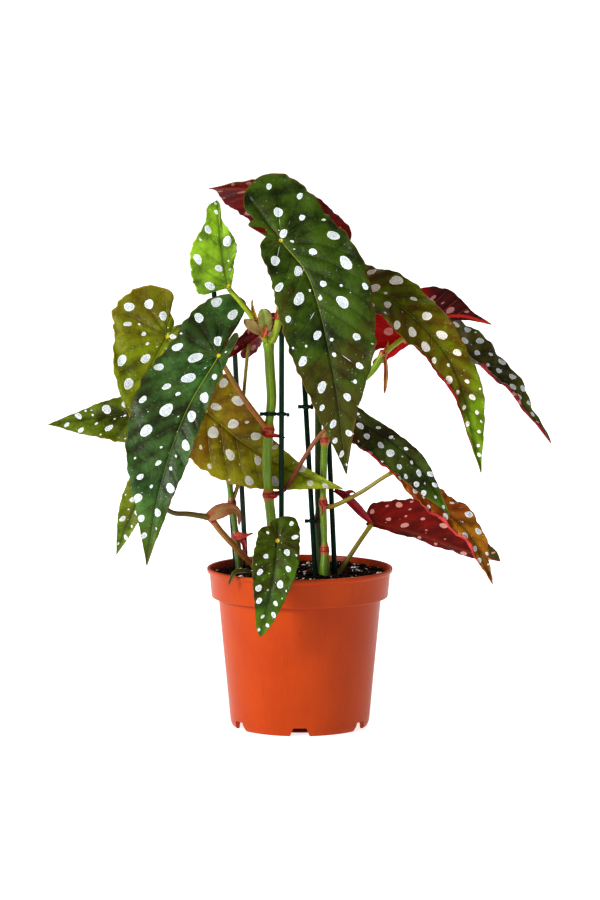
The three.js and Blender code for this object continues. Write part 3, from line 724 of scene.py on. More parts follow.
def leaf_under(leaf, seed, length):
    """`red` is (deep, bright, vein), and `far` a last colour with the shares it starts between."""
    paint = Paint("leaf_under_" + leaf["name"], gloss=UNDER_GLOSS)
    deep, bright, vein = leaf["red"]
    spot = paint.place()
    veins = Veins(paint, length)
    clouds = paint.cloud(spot, 38, 5.0, 0.62)
    paint.ground(paint.fade(clouds, 0.38, 0.62), deep, bright)
    if "far" in leaf:
        far, far_from, far_to = leaf["far"]
        paint.coat(paint.fade(veins.share, far_from, far_to), far)
    paint.coat(paint.times(veins.ridge, 0.3), whole(tinted(deep, 0.7)))
    paint.coat(paint.times(veins.line, 0.7), vein)
    paint.coat(paint.times(paint.fade(veins.across, 1.7, 0.5, 0.0, 0.8), veins.ahead), vein)
    paint.coat(paint.times(spots(paint, seed), leaf["pink"]), leaf["blush"])
    paint.coat(paint.fade(veins.edge, 0.985, 1.0, 0.0, 0.6), leaf["green"][1])
    grain = paint.cloud(spot, 620, 3.0, 0.6)
    paint.bump(paint.plus(grain, paint.times(veins.line, 1.6)), *SKIN_BUMP)
    return paint.finish(paint.fade(clouds, 0.3, 0.7, 0.42, 0.55))


def leaf_edge(leaf):
    paint = Paint("leaf_edge_" + leaf["name"])
    patches = paint.cloud(paint.place(), 60, 2.0)
    paint.ground(paint.fade(patches, 0.4, 0.6), leaf["green"][1], leaf["edge"])
    return paint.finish()


# %% [markdown]
# ## Leaves: one entry each
# `rib` runs from the stalk to the tip, `up` is the way the upper face looks at each end, `hand` is
# the side of the broad half, and each half lists its lobe and widths. `fold` is the angle at which
# each half leaves the midrib, `droop` and `curl` bend it on by so many degrees a mm, outward and
# back into the lobe, and `wave` is the height and the number of the margin's waves. Most leaves
# share many of these, so one plain leaf holds them, and each leaf lists only what is its own.

# %% The sixteen leaves
PLAIN_LEAF = dict(      # what a leaf has unless its own entry says otherwise
    slot="leaf", lap=0, bite=0, blunt=0.3, fold=[8, 8], droop=[0.3, 0.3], curl=0.3,
    pucker=0.9,                # mm that the skin stands up between two veins
    gap=13.0,                  # mm between two side veins
    roll=(0, 0, 0, 1),         # curled margin: which half, how far, and from where to where
    cell=16.0, spread=0.88,    # mm of room for a large spot, and the share kept between two
    few=14,                    # small spots
    warmth=(0.6, 0.0, 1.0), tip_from=0.62, ribbed=0.4, streak=0.0, silver=SILVER, hatch=HATCH,
    red=((92, 6, 8), (142, 18, 22), (152, 46, 34)), pink=0.62, blush=(206, 150, 144),
    edge=(150, 96, 40),
)
LEAVES = [
    dict(PLAIN_LEAF, name="crown", hand=1, lap=8, curl=0.25, droop=[0.3, 0.25], wave=[1, 5],
         rib=[[-12, -40, 315], [7, -58, 289], [21, -72, 233], [29, -74, 171]],
         up=[[-0.1, -0.8, 0.6], [0.1, -1, 0.1]],
         broad=[50, 34, 35, 30, 12], narrow=[22, 15, 25, 24, 14], bite=0.75, cell=17,
         green=((29, 43, 3), (53, 73, 9), (66, 49, 2), (72, 68, 3)),
         warmth=(0.74, 0.85, 0.15), tip_from=0.5, ribbed=0.85, streak=0.8, midrib=MIDRIB),
    dict(PLAIN_LEAF, name="left_front", hand=-1, curl=0.5, droop=[0.3, 0.25], wave=[1, 5],
         rib=[[-51, -45, 243], [-72, -64, 207], [-87, -78, 162], [-95, -82, 115]],
         up=[[-0.2, -0.8, 0.5], [-0.1, -1, 0]],
         broad=[47, 32, 35, 29, 13], narrow=[19, 7, 12, 13, 8], cell=17.5, spread=0.82,
         green=((30, 56, 24), (58, 94, 42), (56, 44, 6), (86, 104, 8)),
         warmth=(0.35, 0.5, 0.9), ribbed=0.8, midrib=MIDRIB),
    dict(PLAIN_LEAF, name="young", slot="young_leaf", hand=1, droop=[0.4, 0.4], wave=[1.8, 4],
         rib=[[-45, -32, 286], [-48, -37, 304], [-50, -37, 321], [-52, -32, 340]],
         up=[[0.1, -1, 0.1], [0.1, -1, 0.2]],
         broad=[1.5, 20, 22, 19, 9], narrow=[0.5, 2, 6, 9, 2], blunt=0.75, cell=13.0, few=6,
         green=((84, 118, 10), (118, 152, 30), (98, 126, 12), (106, 140, 22)),
         warmth=(0.3, 0, 1), midrib=(130, 160, 40),
         red=((110, 130, 20), (130, 156, 36), (140, 160, 50))),
    dict(PLAIN_LEAF, name="left_upper", hand=-1, lap=-8, curl=0.25, wave=[1, 4],
         rib=[[-85, 2, 252], [-96, -8, 230], [-98, -14, 205], [-95, -12, 179]],
         up=[[-0.1, -0.8, 0.5], [0, -1, 0.1]],
         broad=[30, 40, 28, 18, 9], narrow=[8, 12, 16, 12, 6], cell=14.5,
         green=((82, 88, 3), (102, 114, 8), (108, 84, 5), (104, 112, 8)), warmth=(0.5, 0.0, 0.5)),
    dict(PLAIN_LEAF, name="left_far", hand=1, wave=[0.8, 4],
         rib=[[-79, 34, 204], [-104, 34, 201], [-133, 34, 197], [-165, 34, 192]],
         up=[[0, -0.85, 0.5], [0, -0.85, 0.5]],
         broad=[8, 20, 25, 20, 11], narrow=[6, 12, 15, 11, 6], cell=14.0,
         green=((52, 58, 2), (80, 94, 7), (78, 48, 3), (96, 118, 12)), warmth=(0.8, 0.0, 0.5)),
    dict(PLAIN_LEAF, name="left_low", hand=-1, wave=[0.5, 3],
         rib=[[-96, -48, 160], [-102, -50, 150], [-108, -50, 137], [-116, -46, 117]],
         up=[[0, -1, 0.2], [0, -1, 0.1]],
         broad=[7, 13, 11, 8, 4], narrow=[4, 6, 6, 5, 3], cell=8.5,
         green=((76, 96, 12), (104, 126, 28), (86, 74, 12), (96, 118, 22)), warmth=(0.5, 0, 1)),
    dict(PLAIN_LEAF, name="middle", hand=-1, curl=0.4, wave=[0.8, 4],
         rib=[[-61, 12, 203], [-35, 6, 182], [-5, -6, 166], [28, -22, 156]],
         up=[[0.1, -1, 0.12], [0.2, -1, 0.2]],
         broad=[12, 30, 30, 22, 9], narrow=[10, 28, 19, 11, 5], cell=16.0, silver=(206, 202, 180),
         green=((102, 88, 3), (120, 116, 8), (110, 72, 4), (158, 186, 22)),
         warmth=(0.7, 0.1, 0.5), tip_from=0.34),
    dict(PLAIN_LEAF, name="crown_rear", hand=-1, wave=[0.8, 4],
         rib=[[17, 10, 316], [-2, 16, 335], [-29, 8, 346], [-58, -8, 347]],
         up=[[0, 0.8, 0.6], [0, 0.6, 0.8]],
         broad=[16, 26, 30, 31, 20.5], narrow=[14, 17, 14, 12, 7], blunt=0.2, cell=14.0,
         green=((46, 60, 16), (70, 86, 30), (80, 60, 18), (90, 100, 34)),
         red=((88, 7, 3), (124, 16, 7), (140, 54, 24))),
    # its silver and hatch are lighter than on the other leaves: painted light on spots that lie in
    # the crown's shadow
    dict(PLAIN_LEAF, name="right_long", hand=-1, wave=[1.6, 5], roll=(1, 0.12, 0.50, 0.93),
         rib=[[32, -14, 286], [66, -30, 271], [98, -44, 233], [114, -50, 169]],
         up=[[0.1, -0.7, 0.7], [0.3, -1, 0.1]],
         broad=[16, 12, 16, 15, 6], narrow=[18, 21, 19, 14, 11],
         cell=15.0, spread=0.72, silver=(255, 250, 238), hatch=(206, 200, 190),
         green=((92, 84, 2), (102, 128, 6), (96, 62, 2), (104, 140, 10)), warmth=(0.8, 0.5, 0.9)),
    dict(PLAIN_LEAF, name="right_under", hand=-1, lap=-4, wave=[0.8, 4],
         rib=[[67, 16, 250], [84, 20, 261], [104, 26, 264], [125, 30, 258]],
         up=[[0, 0.9, 0.4], [0, 0.8, 0.6]],
         broad=[32, 27, 25, 20, 5], narrow=[26, 7, 5, 4, 3], cell=14.0,
         green=((60, 70, 12), (86, 100, 30), (90, 50, 14), (96, 110, 40)),
         # from about a quarter of the rib on, its under face is painted near-black red: painted
         # shade on the far half
         red=((158, 6, 8), (204, 12, 14), (200, 50, 36)), far=((52, 2, 2), 0.26, 0.42)),
    dict(PLAIN_LEAF, name="right_far", hand=1, fold=[8, 30], wave=[1.8, 5],
         roll=(-1, 0.22, 0.5, 0.97),
         rib=[[72, 34, 266], [107, 46, 240], [135, 56, 217], [167, 62, 177]],
         up=[[0.4, -0.6, 0.7], [0.6, -0.6, 0.5]],
         broad=[16, 20, 24, 20, 10], narrow=[12, 14, 14, 12, 6], cell=11.8, spread=0.70,
         green=((58, 50, 8), (84, 86, 20), (72, 46, 8), (92, 108, 34)), warmth=(0.9, 0.3, 0.8),
         red=((112, 24, 26), (160, 52, 50), (160, 60, 50))),
    dict(PLAIN_LEAF, name="right_mid", hand=1, wave=[0.8, 4], roll=(-1, 0.08, 0.40, 0.70),
         rib=[[30, -42, 206], [53, -52, 193], [75, -60, 174], [94, -62, 144]],
         up=[[0.1, -0.8, 0.6], [0.3, -1, 0.4]],
         broad=[12, 8, 6, 7, 4], narrow=[14, 15, 19, 18, 11], cell=12.5, spread=0.66,
         green=((38, 36, 10), (60, 74, 24), (50, 34, 10), (116, 148, 16)),
         warmth=(0.9, 0.2, 0.8), tip_from=0.7),
    dict(PLAIN_LEAF, name="right_amber", hand=1, wave=[1.9, 5], roll=(-1, 0.20, 0.35, 0.93),
         rib=[[61, -22, 168], [85, -29, 149], [107, -39, 130], [122, -44, 98]],
         up=[[0.2, -0.8, 0.5], [0.3, -1, 0.4]],
         broad=[3, 3, 8, 11, 7], narrow=[3, 4, 8, 10, 6], cell=12.0,
         green=((124, 64, 3), (144, 96, 10), (134, 54, 4), (122, 92, 10)), warmth=(0.7, 0, 1),
         red=((160, 40, 36), (196, 76, 70), (180, 70, 56)), edge=(190, 70, 60)),
    dict(PLAIN_LEAF, name="right_low", hand=-1, curl=0.1, wave=[0.8, 4],
         rib=[[47, 4, 131], [75, 9, 124], [104, 15, 113], [131, 19, 104]],
         up=[[0, 0.9, 0.4], [0, 0.6, 0.8]],
         broad=[6, 15, 25, 21, 17], narrow=[4, 3, 5, 6, 6], blunt=0.5, cell=13.0,
         green=((60, 66, 14), (86, 92, 20), (90, 42, 12), (96, 100, 24)),
         red=((80, 6, 2), (124, 16, 6), (112, 34, 10)),
         far=((62, 66, 8), 0.86, 0.875), pink=0.9, blush=(206, 150, 140)),
    dict(PLAIN_LEAF, name="front_small", hand=1, lap=6, wave=[0.6, 4],
         rib=[[-14, -62, 128], [-15, -70, 114], [-19, -75, 93], [-25, -74, 69]],
         up=[[0, -1, 0.3], [0, -1, 0]],
         broad=[17, 14, 14, 11, 7], narrow=[9, 13, 15, 12, 7], blunt=0.5, cell=10.0,
         green=((32, 46, 1), (62, 96, 4), (60, 44, 1), (88, 114, 4)),
         warmth=(0.55, 0.3, 0.8), midrib=(80, 100, 16)),
    dict(PLAIN_LEAF, name="rear_red", hand=-1, wave=[0.7, 4],
         rib=[[-33, 28, 246], [-22, 36, 254], [-8, 44, 255], [8, 50, 252]],
         up=[[0, 0.8, 0.6], [0, 0.6, 0.8]],
         broad=[22, 9, 14, 12, 6], narrow=[8, 11, 12, 9, 4], cell=14.0,
         green=((60, 66, 14), (86, 92, 20), (90, 42, 12), (96, 100, 24)),
         red=((84, 3, 8), (118, 8, 14), (130, 30, 24))),
]
BLADE_THICK = 0.6      # mm
GRID_STEP = 0.95       # mm between two rows of the grid, and about as much between columns
ROWS, COLUMNS = (60, 220), (16, 40)    # fewest and most

for seed, leaf in enumerate(LEAVES):
    stretch = Path(leaf["rib"]).length
    rows = int(np.clip((stretch + leaf["broad"][0]) / GRID_STEP, *ROWS))
    columns = int(np.clip(max(leaf["broad"] + leaf["narrow"]), *COLUMNS))
    skins = (leaf_top(leaf, seed, stretch), leaf_under(leaf, seed, stretch), leaf_edge(leaf))
    blade = make_blade("blade_" + leaf["name"], leaf, rows, columns, BLADE_THICK, skins,
                       leaf["slot"], "leaf_" + leaf["name"], seed=seed)
    print(blade.name, len(blade.data.polygons), "faces", leaf["spots"], "spots")

# %% [markdown]
# ## Canes and stalks
# A cane is a bamboo-like stem: a tube that swells at each joint, where a ring scar shows. The tube
# is a grid wrapped round the cane's curve. Its map holds the distance from the nearest joint, so
# the finish can redden the joints and run its streaks lengthwise.


# %% A tube along a curve
NO_JOINT_NEAR = -1e3       # mm


def turned_frames(tangents):
    """Two directions square to each tangent that turn as little as they can along the way."""
    side = unit(np.cross(tangents[0], (0.31, 0.95, 0.05)))
    sides = []
    for tangent in tangents:
        side = unit(side - tangent * np.dot(side, tangent))
        sides.append(side)
    sides = np.array(sides)
    return sides, np.cross(tangents, sides)


def make_tube(name, path, radius, sides, rings, skins, slot, *nodes, joints=()):
    """`radius` gives the tube's radius in mm for a share of the length; ends are rounded shut."""
    form = bmesh.new()
    bmesh.ops.create_grid(form, x_segments=rings, y_segments=sides, size=0.5)
    flat = np.array([vert.co[:2] for vert in form.verts]) + 0.5
    share, turn = flat[:, 0], flat[:, 1] * 2 * math.pi
    stations = np.linspace(0, 1, rings + 1)
    ring = np.round(share * rings).astype(int)
    one, two = turned_frames(path.tangent(stations))
    wide = np.array([radius(u) for u in stations])
    from_end = np.clip(np.minimum(stations, 1 - stations) * path.length / wide, 0, 1)
    wide = wide * np.sqrt(from_end * (2 - from_end))
    places = path.at(stations)[ring]
    places = places + one[ring] * (np.cos(turn) * wide[ring])[:, None]
    places = places + two[ring] * (np.sin(turn) * wide[ring])[:, None]
    walked = share * path.length
    marks = np.array(joints) * path.length if len(joints) else np.array([NO_JOINT_NEAR])
    gap = walked[:, None] - marks[None]
    nearest = gap[np.arange(len(gap)), np.abs(gap).argmin(axis=1)]
    layers = [form.loops.layers.uv.new(key) for key in ("stalk", "joint")]
    for face in form.faces:
        for loop in face.loops:
            at = loop.vert.index
            loop[layers[0]].uv = (walked[at] / 10, flat[at, 1])
            loop[layers[1]].uv = (np.clip(nearest[at] / 10, -5, 5), share[at])
    for vert, place in zip(form.verts, places):
        vert.co = place * MM
    close(form)
    return publish(name, form, skins, slot, *nodes)


def height_share(path, height):
    """The share of the path's length at which it reaches a height in mm."""
    shares = np.linspace(0, 1, 400)
    return shares[np.abs(path.at(shares)[:, 2] - height).argmin()]


# %% [markdown]
# A stem is green or tan, with pale and dark streaks along it. Where a leaf's sheath was, a papery
# scar stays, and the skin round it blushes red. The streaks come from a noise that is read on a
# circle, so it closes round the stem without a seam.


# %% The finish of canes and stalks
SCAR_DARK = (44, 14, 8)
LANE = 0.12        # how fast the streaks change along the stem, against round it


def stem_skin(name, low, high, joint):
    """`low` and `high` are the colours at the two ends, `joint` the colour of its joints."""
    paint = Paint(name, 0.42)
    spot = paint.place()
    walked, turn = paint.parts(paint.map("stalk"))
    gap, share = paint.parts(paint.map("joint"))
    lighter, darker = whole(tinted(high, 1.28, 14)), whole(tinted(low, 0.68))
    paint.ground(paint.fade(share, 0.1, 0.9), low, high)

    # streaks along the stem: the pattern goes round with it, so no seam shows
    angle = paint.times(turn, 2 * math.pi)
    wrapped = paint.vector(paint.calc("COSINE", angle), paint.calc("SINE", angle),
                           paint.times(walked, LANE))
    lanes = paint.cloud(wrapped, 3.2, 3.0, 0.6)
    paint.coat(paint.fade(lanes, 0.52, 0.7, 0.0, 0.5), lighter)
    paint.coat(paint.fade(lanes, 0.46, 0.3, 0.0, 0.5), darker)

    # each joint: a blush round it, a ragged scar and a thin dark ring
    near = paint.calc("ABSOLUTE", gap)
    ragged = paint.plus(near, paint.times(paint.cloud(spot, 420, 2.0), 0.22))
    paint.coat(paint.fade(ragged, 0.62, 0.26, 0.0, 0.7), whole(tinted(joint, 1.1, 26)))
    scar = paint.plus(near, paint.times(paint.cloud(spot, 300, 3.0, 0.7), 0.5))
    paint.coat(paint.fade(scar, 0.46, 0.34, 0.0, 0.95), joint)
    off_ring = paint.calc("ABSOLUTE", paint.calc("SUBTRACT", near, 0.13))
    ring = paint.fade(off_ring, 0.035, 0.0, 0.0, 0.7)
    paint.coat(ring, SCAR_DARK)
    freckle = paint.node("TexVoronoi", Vector=spot, Scale=330.0)
    paint.coat(paint.fade(freckle.outputs["Distance"], 0.20, 0.10, 0.0, 0.35), lighter)
    height = paint.plus(paint.times(lanes, 0.8), paint.times(paint.cloud(spot, 900, 2.0), 0.4))
    paint.bump(paint.calc("SUBTRACT", height, ring), 0.5, 0.0005)
    return paint.finish()


CANE_GREEN = stem_skin("cane_green", (94, 128, 8), (114, 146, 12), (164, 44, 20))
CANE_DARK = stem_skin("cane_dark", (44, 66, 12), (74, 104, 22), (90, 20, 12))
CANE_LEFT = stem_skin("cane_left", (62, 84, 18), (96, 124, 26), (110, 34, 18))
SHOOT_RED = stem_skin("shoot_red", (146, 74, 34), (150, 104, 42), (150, 52, 30))
STALK_GREEN = stem_skin("stalk_green", (126, 146, 14), (136, 154, 18), (170, 66, 30))
STALK_OLIVE = stem_skin("stalk_olive", (128, 112, 20), (124, 112, 16), (140, 62, 26))
STALK_TAN = stem_skin("stalk_tan", (150, 82, 10), (152, 112, 18), (190, 40, 16))
STALK_ROSE = stem_skin("stalk_rose", (118, 50, 34), (120, 70, 28), (150, 34, 26))
STALK_BARK = stem_skin("stalk_bark", (104, 92, 26), (62, 46, 14), (140, 60, 30))

# %% [markdown]
# The four canes and the side shoot follow the same points as the solids. A joint is a short smooth
# swelling with a waist after it, so the light breaks there as on the real stem.

# %% Canes
FOOT, HEAD = 0.3, 0        # mm that a cane is thicker below its first joint and at its top
JOINT_HALF = 2.6           # mm
WAIST = (7, 5, 0.16)       # mm past the joint, mm of half length, and how deep, as a share
CANE_SIDES, CANE_RING = 20, 1.1        # sides of the tube, and mm between its rings
CANES = [
    dict(name="cane_front", skin=CANE_GREEN, radius=3.15, swell=1.1, joints=[108, 152, 194],
         head=0.8, points=[[-17, -14, 62], [-17.5, -16, 98], [-18, -17, 131], [-20, -18, 152],
                           [-21, -19, 173], [-20, -20, 194], [-18, -20, 213], [-19, -20, 232],
                           [-20, -20, 252]]),
    dict(name="cane_right", skin=CANE_GREEN, radius=2.2, swell=0.9, joints=[116, 146, 186, 242],
         foot=1.1, points=[[16, -20, 62], [16, -18, 99], [16, -14, 116], [15, -10, 146],
                           [16, -6, 185], [19, -4, 202], [30, 0, 216], [46, 4, 229], [55, 6, 243]]),
    dict(name="cane_rear", skin=CANE_DARK, radius=2.3, swell=0.9, joints=[134, 208, 278],
         points=[[14, -3, 62], [13.5, -3, 99], [12, -2, 134], [12, 2, 166], [12, 6, 194],
                 [12, 10, 230], [12, 12, 268], [14, 12, 296]]),
    dict(name="cane_left", skin=CANE_LEFT, radius=2.2, swell=0.9, joints=[120, 142, 192, 250],
         points=[[-37, 16, 62], [-39.5, 20, 98], [-41, 22, 115], [-46, 24, 155], [-50, 24, 189],
                 [-55, 24, 222], [-62, 22, 252]]),
    dict(name="shoot_side", skin=SHOOT_RED, radius=1.7, swell=0.6, joints=[137],
         points=[[-22, -6, 78], [-26, -8, 99], [-38, -14, 114], [-50, -20, 128], [-57, -24, 138]]),
]

for cane in CANES:
    path = Path(cane["points"])
    marks = [height_share(path, height) for height in cane["joints"]]

    def cane_radius(share, cane=cane, path=path, marks=marks):
        wide = cane["radius"] + cane.get("foot", FOOT) * np.clip((marks[0] - share) * 20, 0, 1)
        wide += cane.get("head", HEAD) * np.clip((share - 0.955) * 30, 0, 1)
        waist, half, depth = WAIST
        for mark in marks:
            walk = (share - mark) * path.length
            wide += cane["swell"] * math.exp(-(walk / JOINT_HALF) ** 2)
            wide -= depth * cane["radius"] * math.exp(-((walk - waist) / half) ** 2)
        return wide

    slot = "red_stalk" if cane["name"] == "shoot_side" else "cane"
    tube = make_tube("stem_" + cane["name"], path, cane_radius, CANE_SIDES,
                     int(path.length / CANE_RING), [cane["skin"]], slot, cane["name"],
                     joints=marks)
    print(tube.name, "length", round(path.length), "mm")

# %% [markdown]
# Each leaf hangs on its own stalk, which leaves a cane's joint, swells a little at both ends and
# fades from the joint's red to the leaf's green.

# %% Leaf stalks
STALKS = dict(       # finish, radius at the foot and the top, points up to the blade
    crown=(STALK_GREEN, (2.7, 1.7), [[-19, -21, 249], [-15, -24, 257], [-13.2, -26, 266],
                                     [-12, -28, 283], [-12, -36, 306]]),
    left_front=(STALK_TAN, (1.9, 1.5), [[-20, -20, 193], [-35, -29, 214], [-45, -36, 231]]),
    young=(STALK_GREEN, (2.3, 1.4),
           [[-20.5, -21, 249], [-28, -25, 263], [-37, -27, 275], [-44, -27, 283]]),
    left_upper=(STALK_GREEN, (2, 1.8), [[-62, 22, 250], [-72, 19, 257], [-81, 12, 256]]),
    left_far=(STALK_GREEN, (1.7, 1.4),
              [[-52, 24, 200], [-60, 32, 203], [-70, 40, 203], [-77, 40, 201]]),
    left_low=(STALK_BARK, (2.0, 1.2),
              [[-57, -24, 138], [-70, -31, 141], [-81, -38, 143], [-90, -43, 151]]),
    middle=(STALK_OLIVE, (1.6, 1.4), [[-50, 24, 190], [-55, 19, 198]]),
    crown_rear=(STALK_ROSE, (1.8, 1.5), [[14, 12, 295], [16, 9, 303], [17, 7, 310]]),
    right_long=(STALK_GREEN, (1.8, 1.5), [[12.5, 12, 279], [20, 4, 284], [27, -5, 281]]),
    right_under=(STALK_GREEN, (1.8, 1.4), [[54, 6, 241], [61, 10, 246]]),
    right_far=(STALK_GREEN, (1.7, 1.4), [[40, 3, 224], [48, 20, 243], [58, 31, 258]]),
    right_mid=(STALK_ROSE, (1.5, 1.3), [[-19, -16, 152], [-12, -12.5, 153], [-6, -15, 160],
                                        [2, -24, 175], [14, -31, 193]]),
    right_amber=(STALK_OLIVE, (1.5, 1.3),
                 [[15, -10, 144], [22, -11, 144], [39, -14, 153], [52, -17, 162]]),
    right_low=(STALK_OLIVE, (1.7, 1.5), [[18, -7, 84], [25, -6, 99], [36, -3, 116]]),
    front_small=(STALK_OLIVE, (1.5, 1.2),
                 [[-13, -28, 84], [-13, -32, 99], [-13, -42, 114], [-14, -54, 124]]),
    rear_red=(STALK_OLIVE, (1.3, 1.1), [[-44.5, 23, 142], [-40, 27, 156], [-39, 29, 182],
                                        [-36, 28, 219], [-34, 24, 239]]),
)
RED_STALKS = ("left_front", "left_low", "crown_rear", "right_mid")
NO_SCAR = ("right_low", "front_small", "crown", "young", "right_under")
FOOT_SWELL, TOP_SWELL = (0.5, 4), (0.35, 5)    # mm thicker, and over how many mm
STALK_SIDES, STALK_RING = 14, 1.3              # sides of the tube, and mm between its rings

for leaf in LEAVES:
    skin, (base, top), points = STALKS[leaf["name"]]
    path = Path([*points, leaf["rib"][0]])

    def stalk_radius(share, base=base, top=top, path=path):
        walk = share * path.length
        swell = FOOT_SWELL[0] * math.exp(-(walk / FOOT_SWELL[1]) ** 2)
        swell += TOP_SWELL[0] * math.exp(-((path.length - walk) / TOP_SWELL[1]) ** 2)
        return base + (top - base) * share + swell

    slot = "red_stalk" if leaf["name"] in RED_STALKS else "green_stalk"
    marks = [] if leaf["name"] in NO_SCAR else [0.0]
    make_tube("stalk_" + leaf["name"], path, stalk_radius, STALK_SIDES,
              max(16, int(path.length / STALK_RING)), [skin], slot, "petiole_" + leaf["name"],
              joints=marks)
print("stalks", len(STALKS))

# %% [markdown]
# ## Stipules
# A papery sheath stays behind at each joint where a leaf came out. It is a small folded blade, so
# the leaf's own grid makes it, with a dry skin: straw, rose or green, darker along its veins.


# %% Dry sheaths at the joints
def sheath_skin(name, body, margin_colour, vein):
    """Dry skin of the `body` colour that turns to the `margin_colour` at its edge."""
    paint = Paint(name, 0.55)
    _, edge = paint.parts(paint.map("shape"))
    _, across = paint.parts(paint.map("veins"))
    patches = paint.cloud(paint.place(), 160, 3.0, 0.6)
    paint.ground(paint.fade(patches, 0.35, 0.7, 0.0, 0.6), body, margin_colour)
    paint.coat(paint.fade(edge, 0.6, 1.0, 0.0, 0.85), margin_colour)
    lanes = paint.cloud(paint.vector(paint.times(across, 30.0), 0.5), 1.6, 1.0)
    paint.coat(paint.fade(lanes, 0.5, 0.68, 0.0, 0.6), vein)
    paint.bump(paint.plus(lanes, patches), 0.5, 0.0005)
    return paint.finish()


SHEATH_GREEN = sheath_skin("sheath_green", (134, 160, 78), (142, 84, 44), (104, 134, 52))
SHEATH_ROSE = sheath_skin("sheath_rose", (150, 116, 58), (154, 56, 34), (132, 70, 38))
SHEATH_RED = sheath_skin("sheath_red", (184, 54, 32), (140, 24, 16), (130, 30, 18))
SHEATH_STRAW = sheath_skin("sheath_straw", (126, 116, 50), (134, 98, 56), (102, 82, 34))
SHEATH_LIME = sheath_skin("sheath_lime", (150, 140, 20), (150, 30, 16), (110, 120, 16))
LOBE_RED = sheath_skin("lobe_red", (146, 8, 26), (100, 4, 12), (186, 30, 44))
SHEATH_MOSS = sheath_skin("sheath_moss", (70, 78, 14), (110, 84, 30), (50, 56, 12))
SHEATH_BUD = sheath_skin("sheath_bud", (182, 96, 44), (168, 52, 26), (150, 70, 30))

SHEATHS = [       # name, skin, rib, way the upper face looks, half-widths, fold in degrees
    ("top_right", SHEATH_GREEN,
     [[-20.8, -25, 257.5], [-21.6, -27.5, 263], [-22.6, -28, 268], [-24, -27, 271.5]],
     [0.2, -1, 0.1], (2.4, 4.4, 4.8, 4.4), 14),
    ("top_left", SHEATH_STRAW,
     [[-23, -26, 256], [-28, -27.5, 259], [-32, -27, 262], [-35.5, -26, 264.5]],
     [-0.3, -1, 0.1], (2.0, 3.0, 3.6, 3.0), 14),
    ("top_bud", SHEATH_LIME,
     [[-27.5, -27, 264.5], [-29.2, -28, 270], [-30, -28, 274], [-30, -28, 277.5]],
     [-0.2, -1, 0], (1.3, 1.7, 1.5, 1.0), 50),
    ("top_scale", SHEATH_BUD, [[-23.6, -26.5, 253.5], [-22, -28.5, 257.5], [-20.6, -28.5, 261]],
     [0.1, -1, 0.1], (1.3, 1.8, 1.6, 1.0), 30),
    ("top_tuft", SHEATH_BUD, [[-15, -28, 265], [-14, -29, 269.5], [-12.5, -28.5, 273]],
     [0, -1, 0.1], (1.0, 1.5, 1.3, 0.8), 30),
    ("front_joint", SHEATH_RED,
     [[-24, -22, 193], [-21, -24.5, 191], [-14, -21, 190], [-9, -19, 188.5]],
     [0.2, -1, 0.5], (1.0, 2.0, 1.5, 1.0), 16),
    ("front_scale", SHEATH_RED, [[-20, -24, 152], [-16, -22, 151], [-13, -20, 153]],
     [0.2, -1, 0.5], (0.8, 1.5, 1.1, 0.6), 16),
    ("right_hanging", SHEATH_ROSE,
     [[54, 4, 241], [55.3, 3, 233], [55.3, 2, 225], [54.5, 2, 215]],
     [0, -1, 0], (1.2, 1.5, 1.7, 1.5), 40),
    ("right_stub", SHEATH_LIME, [[54, 4, 240], [56, 3, 245], [57, 3, 249]],
     [0, -1, 0], (1.3, 1.7, 1.4, 0.8), 50),
    ("rear_joint", SHEATH_RED, [[14, 6, 207], [9, 4, 208], [5, 2, 205]],
     [0, -1, 0.4], (0.8, 1.8, 1.3, 0.7), 16),
    ("low_joint", SHEATH_RED, [[13, -14, 147], [15, -15, 143], [14, -15.5, 138]],
     [0, -1, 0.2], (1.2, 1.5, 1.0, 0.6), 16),
    ("left_joint", SHEATH_RED,
     [[-43, 17, 121], [-38, 14, 121], [-34, 13, 122], [-30, 12, 123.5]],
     [0, -1, 0.3], (1.0, 3.0, 2.0, 0.9), 24),
    ("left_scale", SHEATH_RED, [[-38, 14, 120], [-36, 13, 115], [-35.5, 13, 109]],
     [0, -1, 0.2], (1.2, 1.8, 1.5, 0.8), 24),
    ("lobe_fold", LOBE_RED,
     [[22.5, 2, 152.5], [29, 0.5, 149], [37, -0.5, 141], [47, 1, 130.5]],
     [0.15, -1, 0.3], (1.4, 2.9, 3.1, 2.6), 26),
    ("lobe_curl", LOBE_RED, [[29, 0, 150], [33, -0.5, 152], [36, -0.5, 151]],
     [0, -1, 0.2], (0.8, 1.6, 1.2, 0.7), 20),
    ("fallen_bit", SHEATH_MOSS,
     [[-30, -40, 105], [-36, -44.5, 106.2], [-41.5, -48, 105], [-45, -49.5, 98]],
     [-0.3, -0.8, 0.5], (0.8, 1.9, 2.2, 1.3), 30),
    ("side_hood", SHEATH_ROSE,
     [[-59, -26, 138], [-52, -28, 142], [-46, -28.5, 144], [-41, -28.5, 143.5],
      [-38.8, -28.5, 140], [-38.6, -28, 133]],
     [0.1, -1, 0.25], (2.8, 4.6, 3.9, 1.5), 12),
]
SHEATH_LOBE, SHEATH_THICK = 0.4, 0.35    # mm
SHEATH_GRID = (36, 8)

for name, skin, rib, up, widths, fold in SHEATHS:
    sides = [SHEATH_LOBE, *widths]
    own = dict(name=name, rib=rib, up=[up, up], hand=1, broad=sides, narrow=sides, curl=1,
               fold=[fold, fold], droop=[5, 5], wave=[0.35, 3], pucker=0.0, gap=4.0, blunt=0.55)
    make_blade("sheath_" + name, {**PLAIN_LEAF, **own}, *SHEATH_GRID, SHEATH_THICK,
               (skin, skin, skin), "red_stalk")
print("sheaths", len(SHEATHS))

# %% [markdown]
# ## Stakes and ties
# The stakes are sold as plastic-coated sticks, dark green and glossy, with a rounded top and fine
# ribs along them. The older one at the back has weathered grey.


# %% Stakes
STAKE_RIBS = 9
STAKE_GLOSS = 0.15


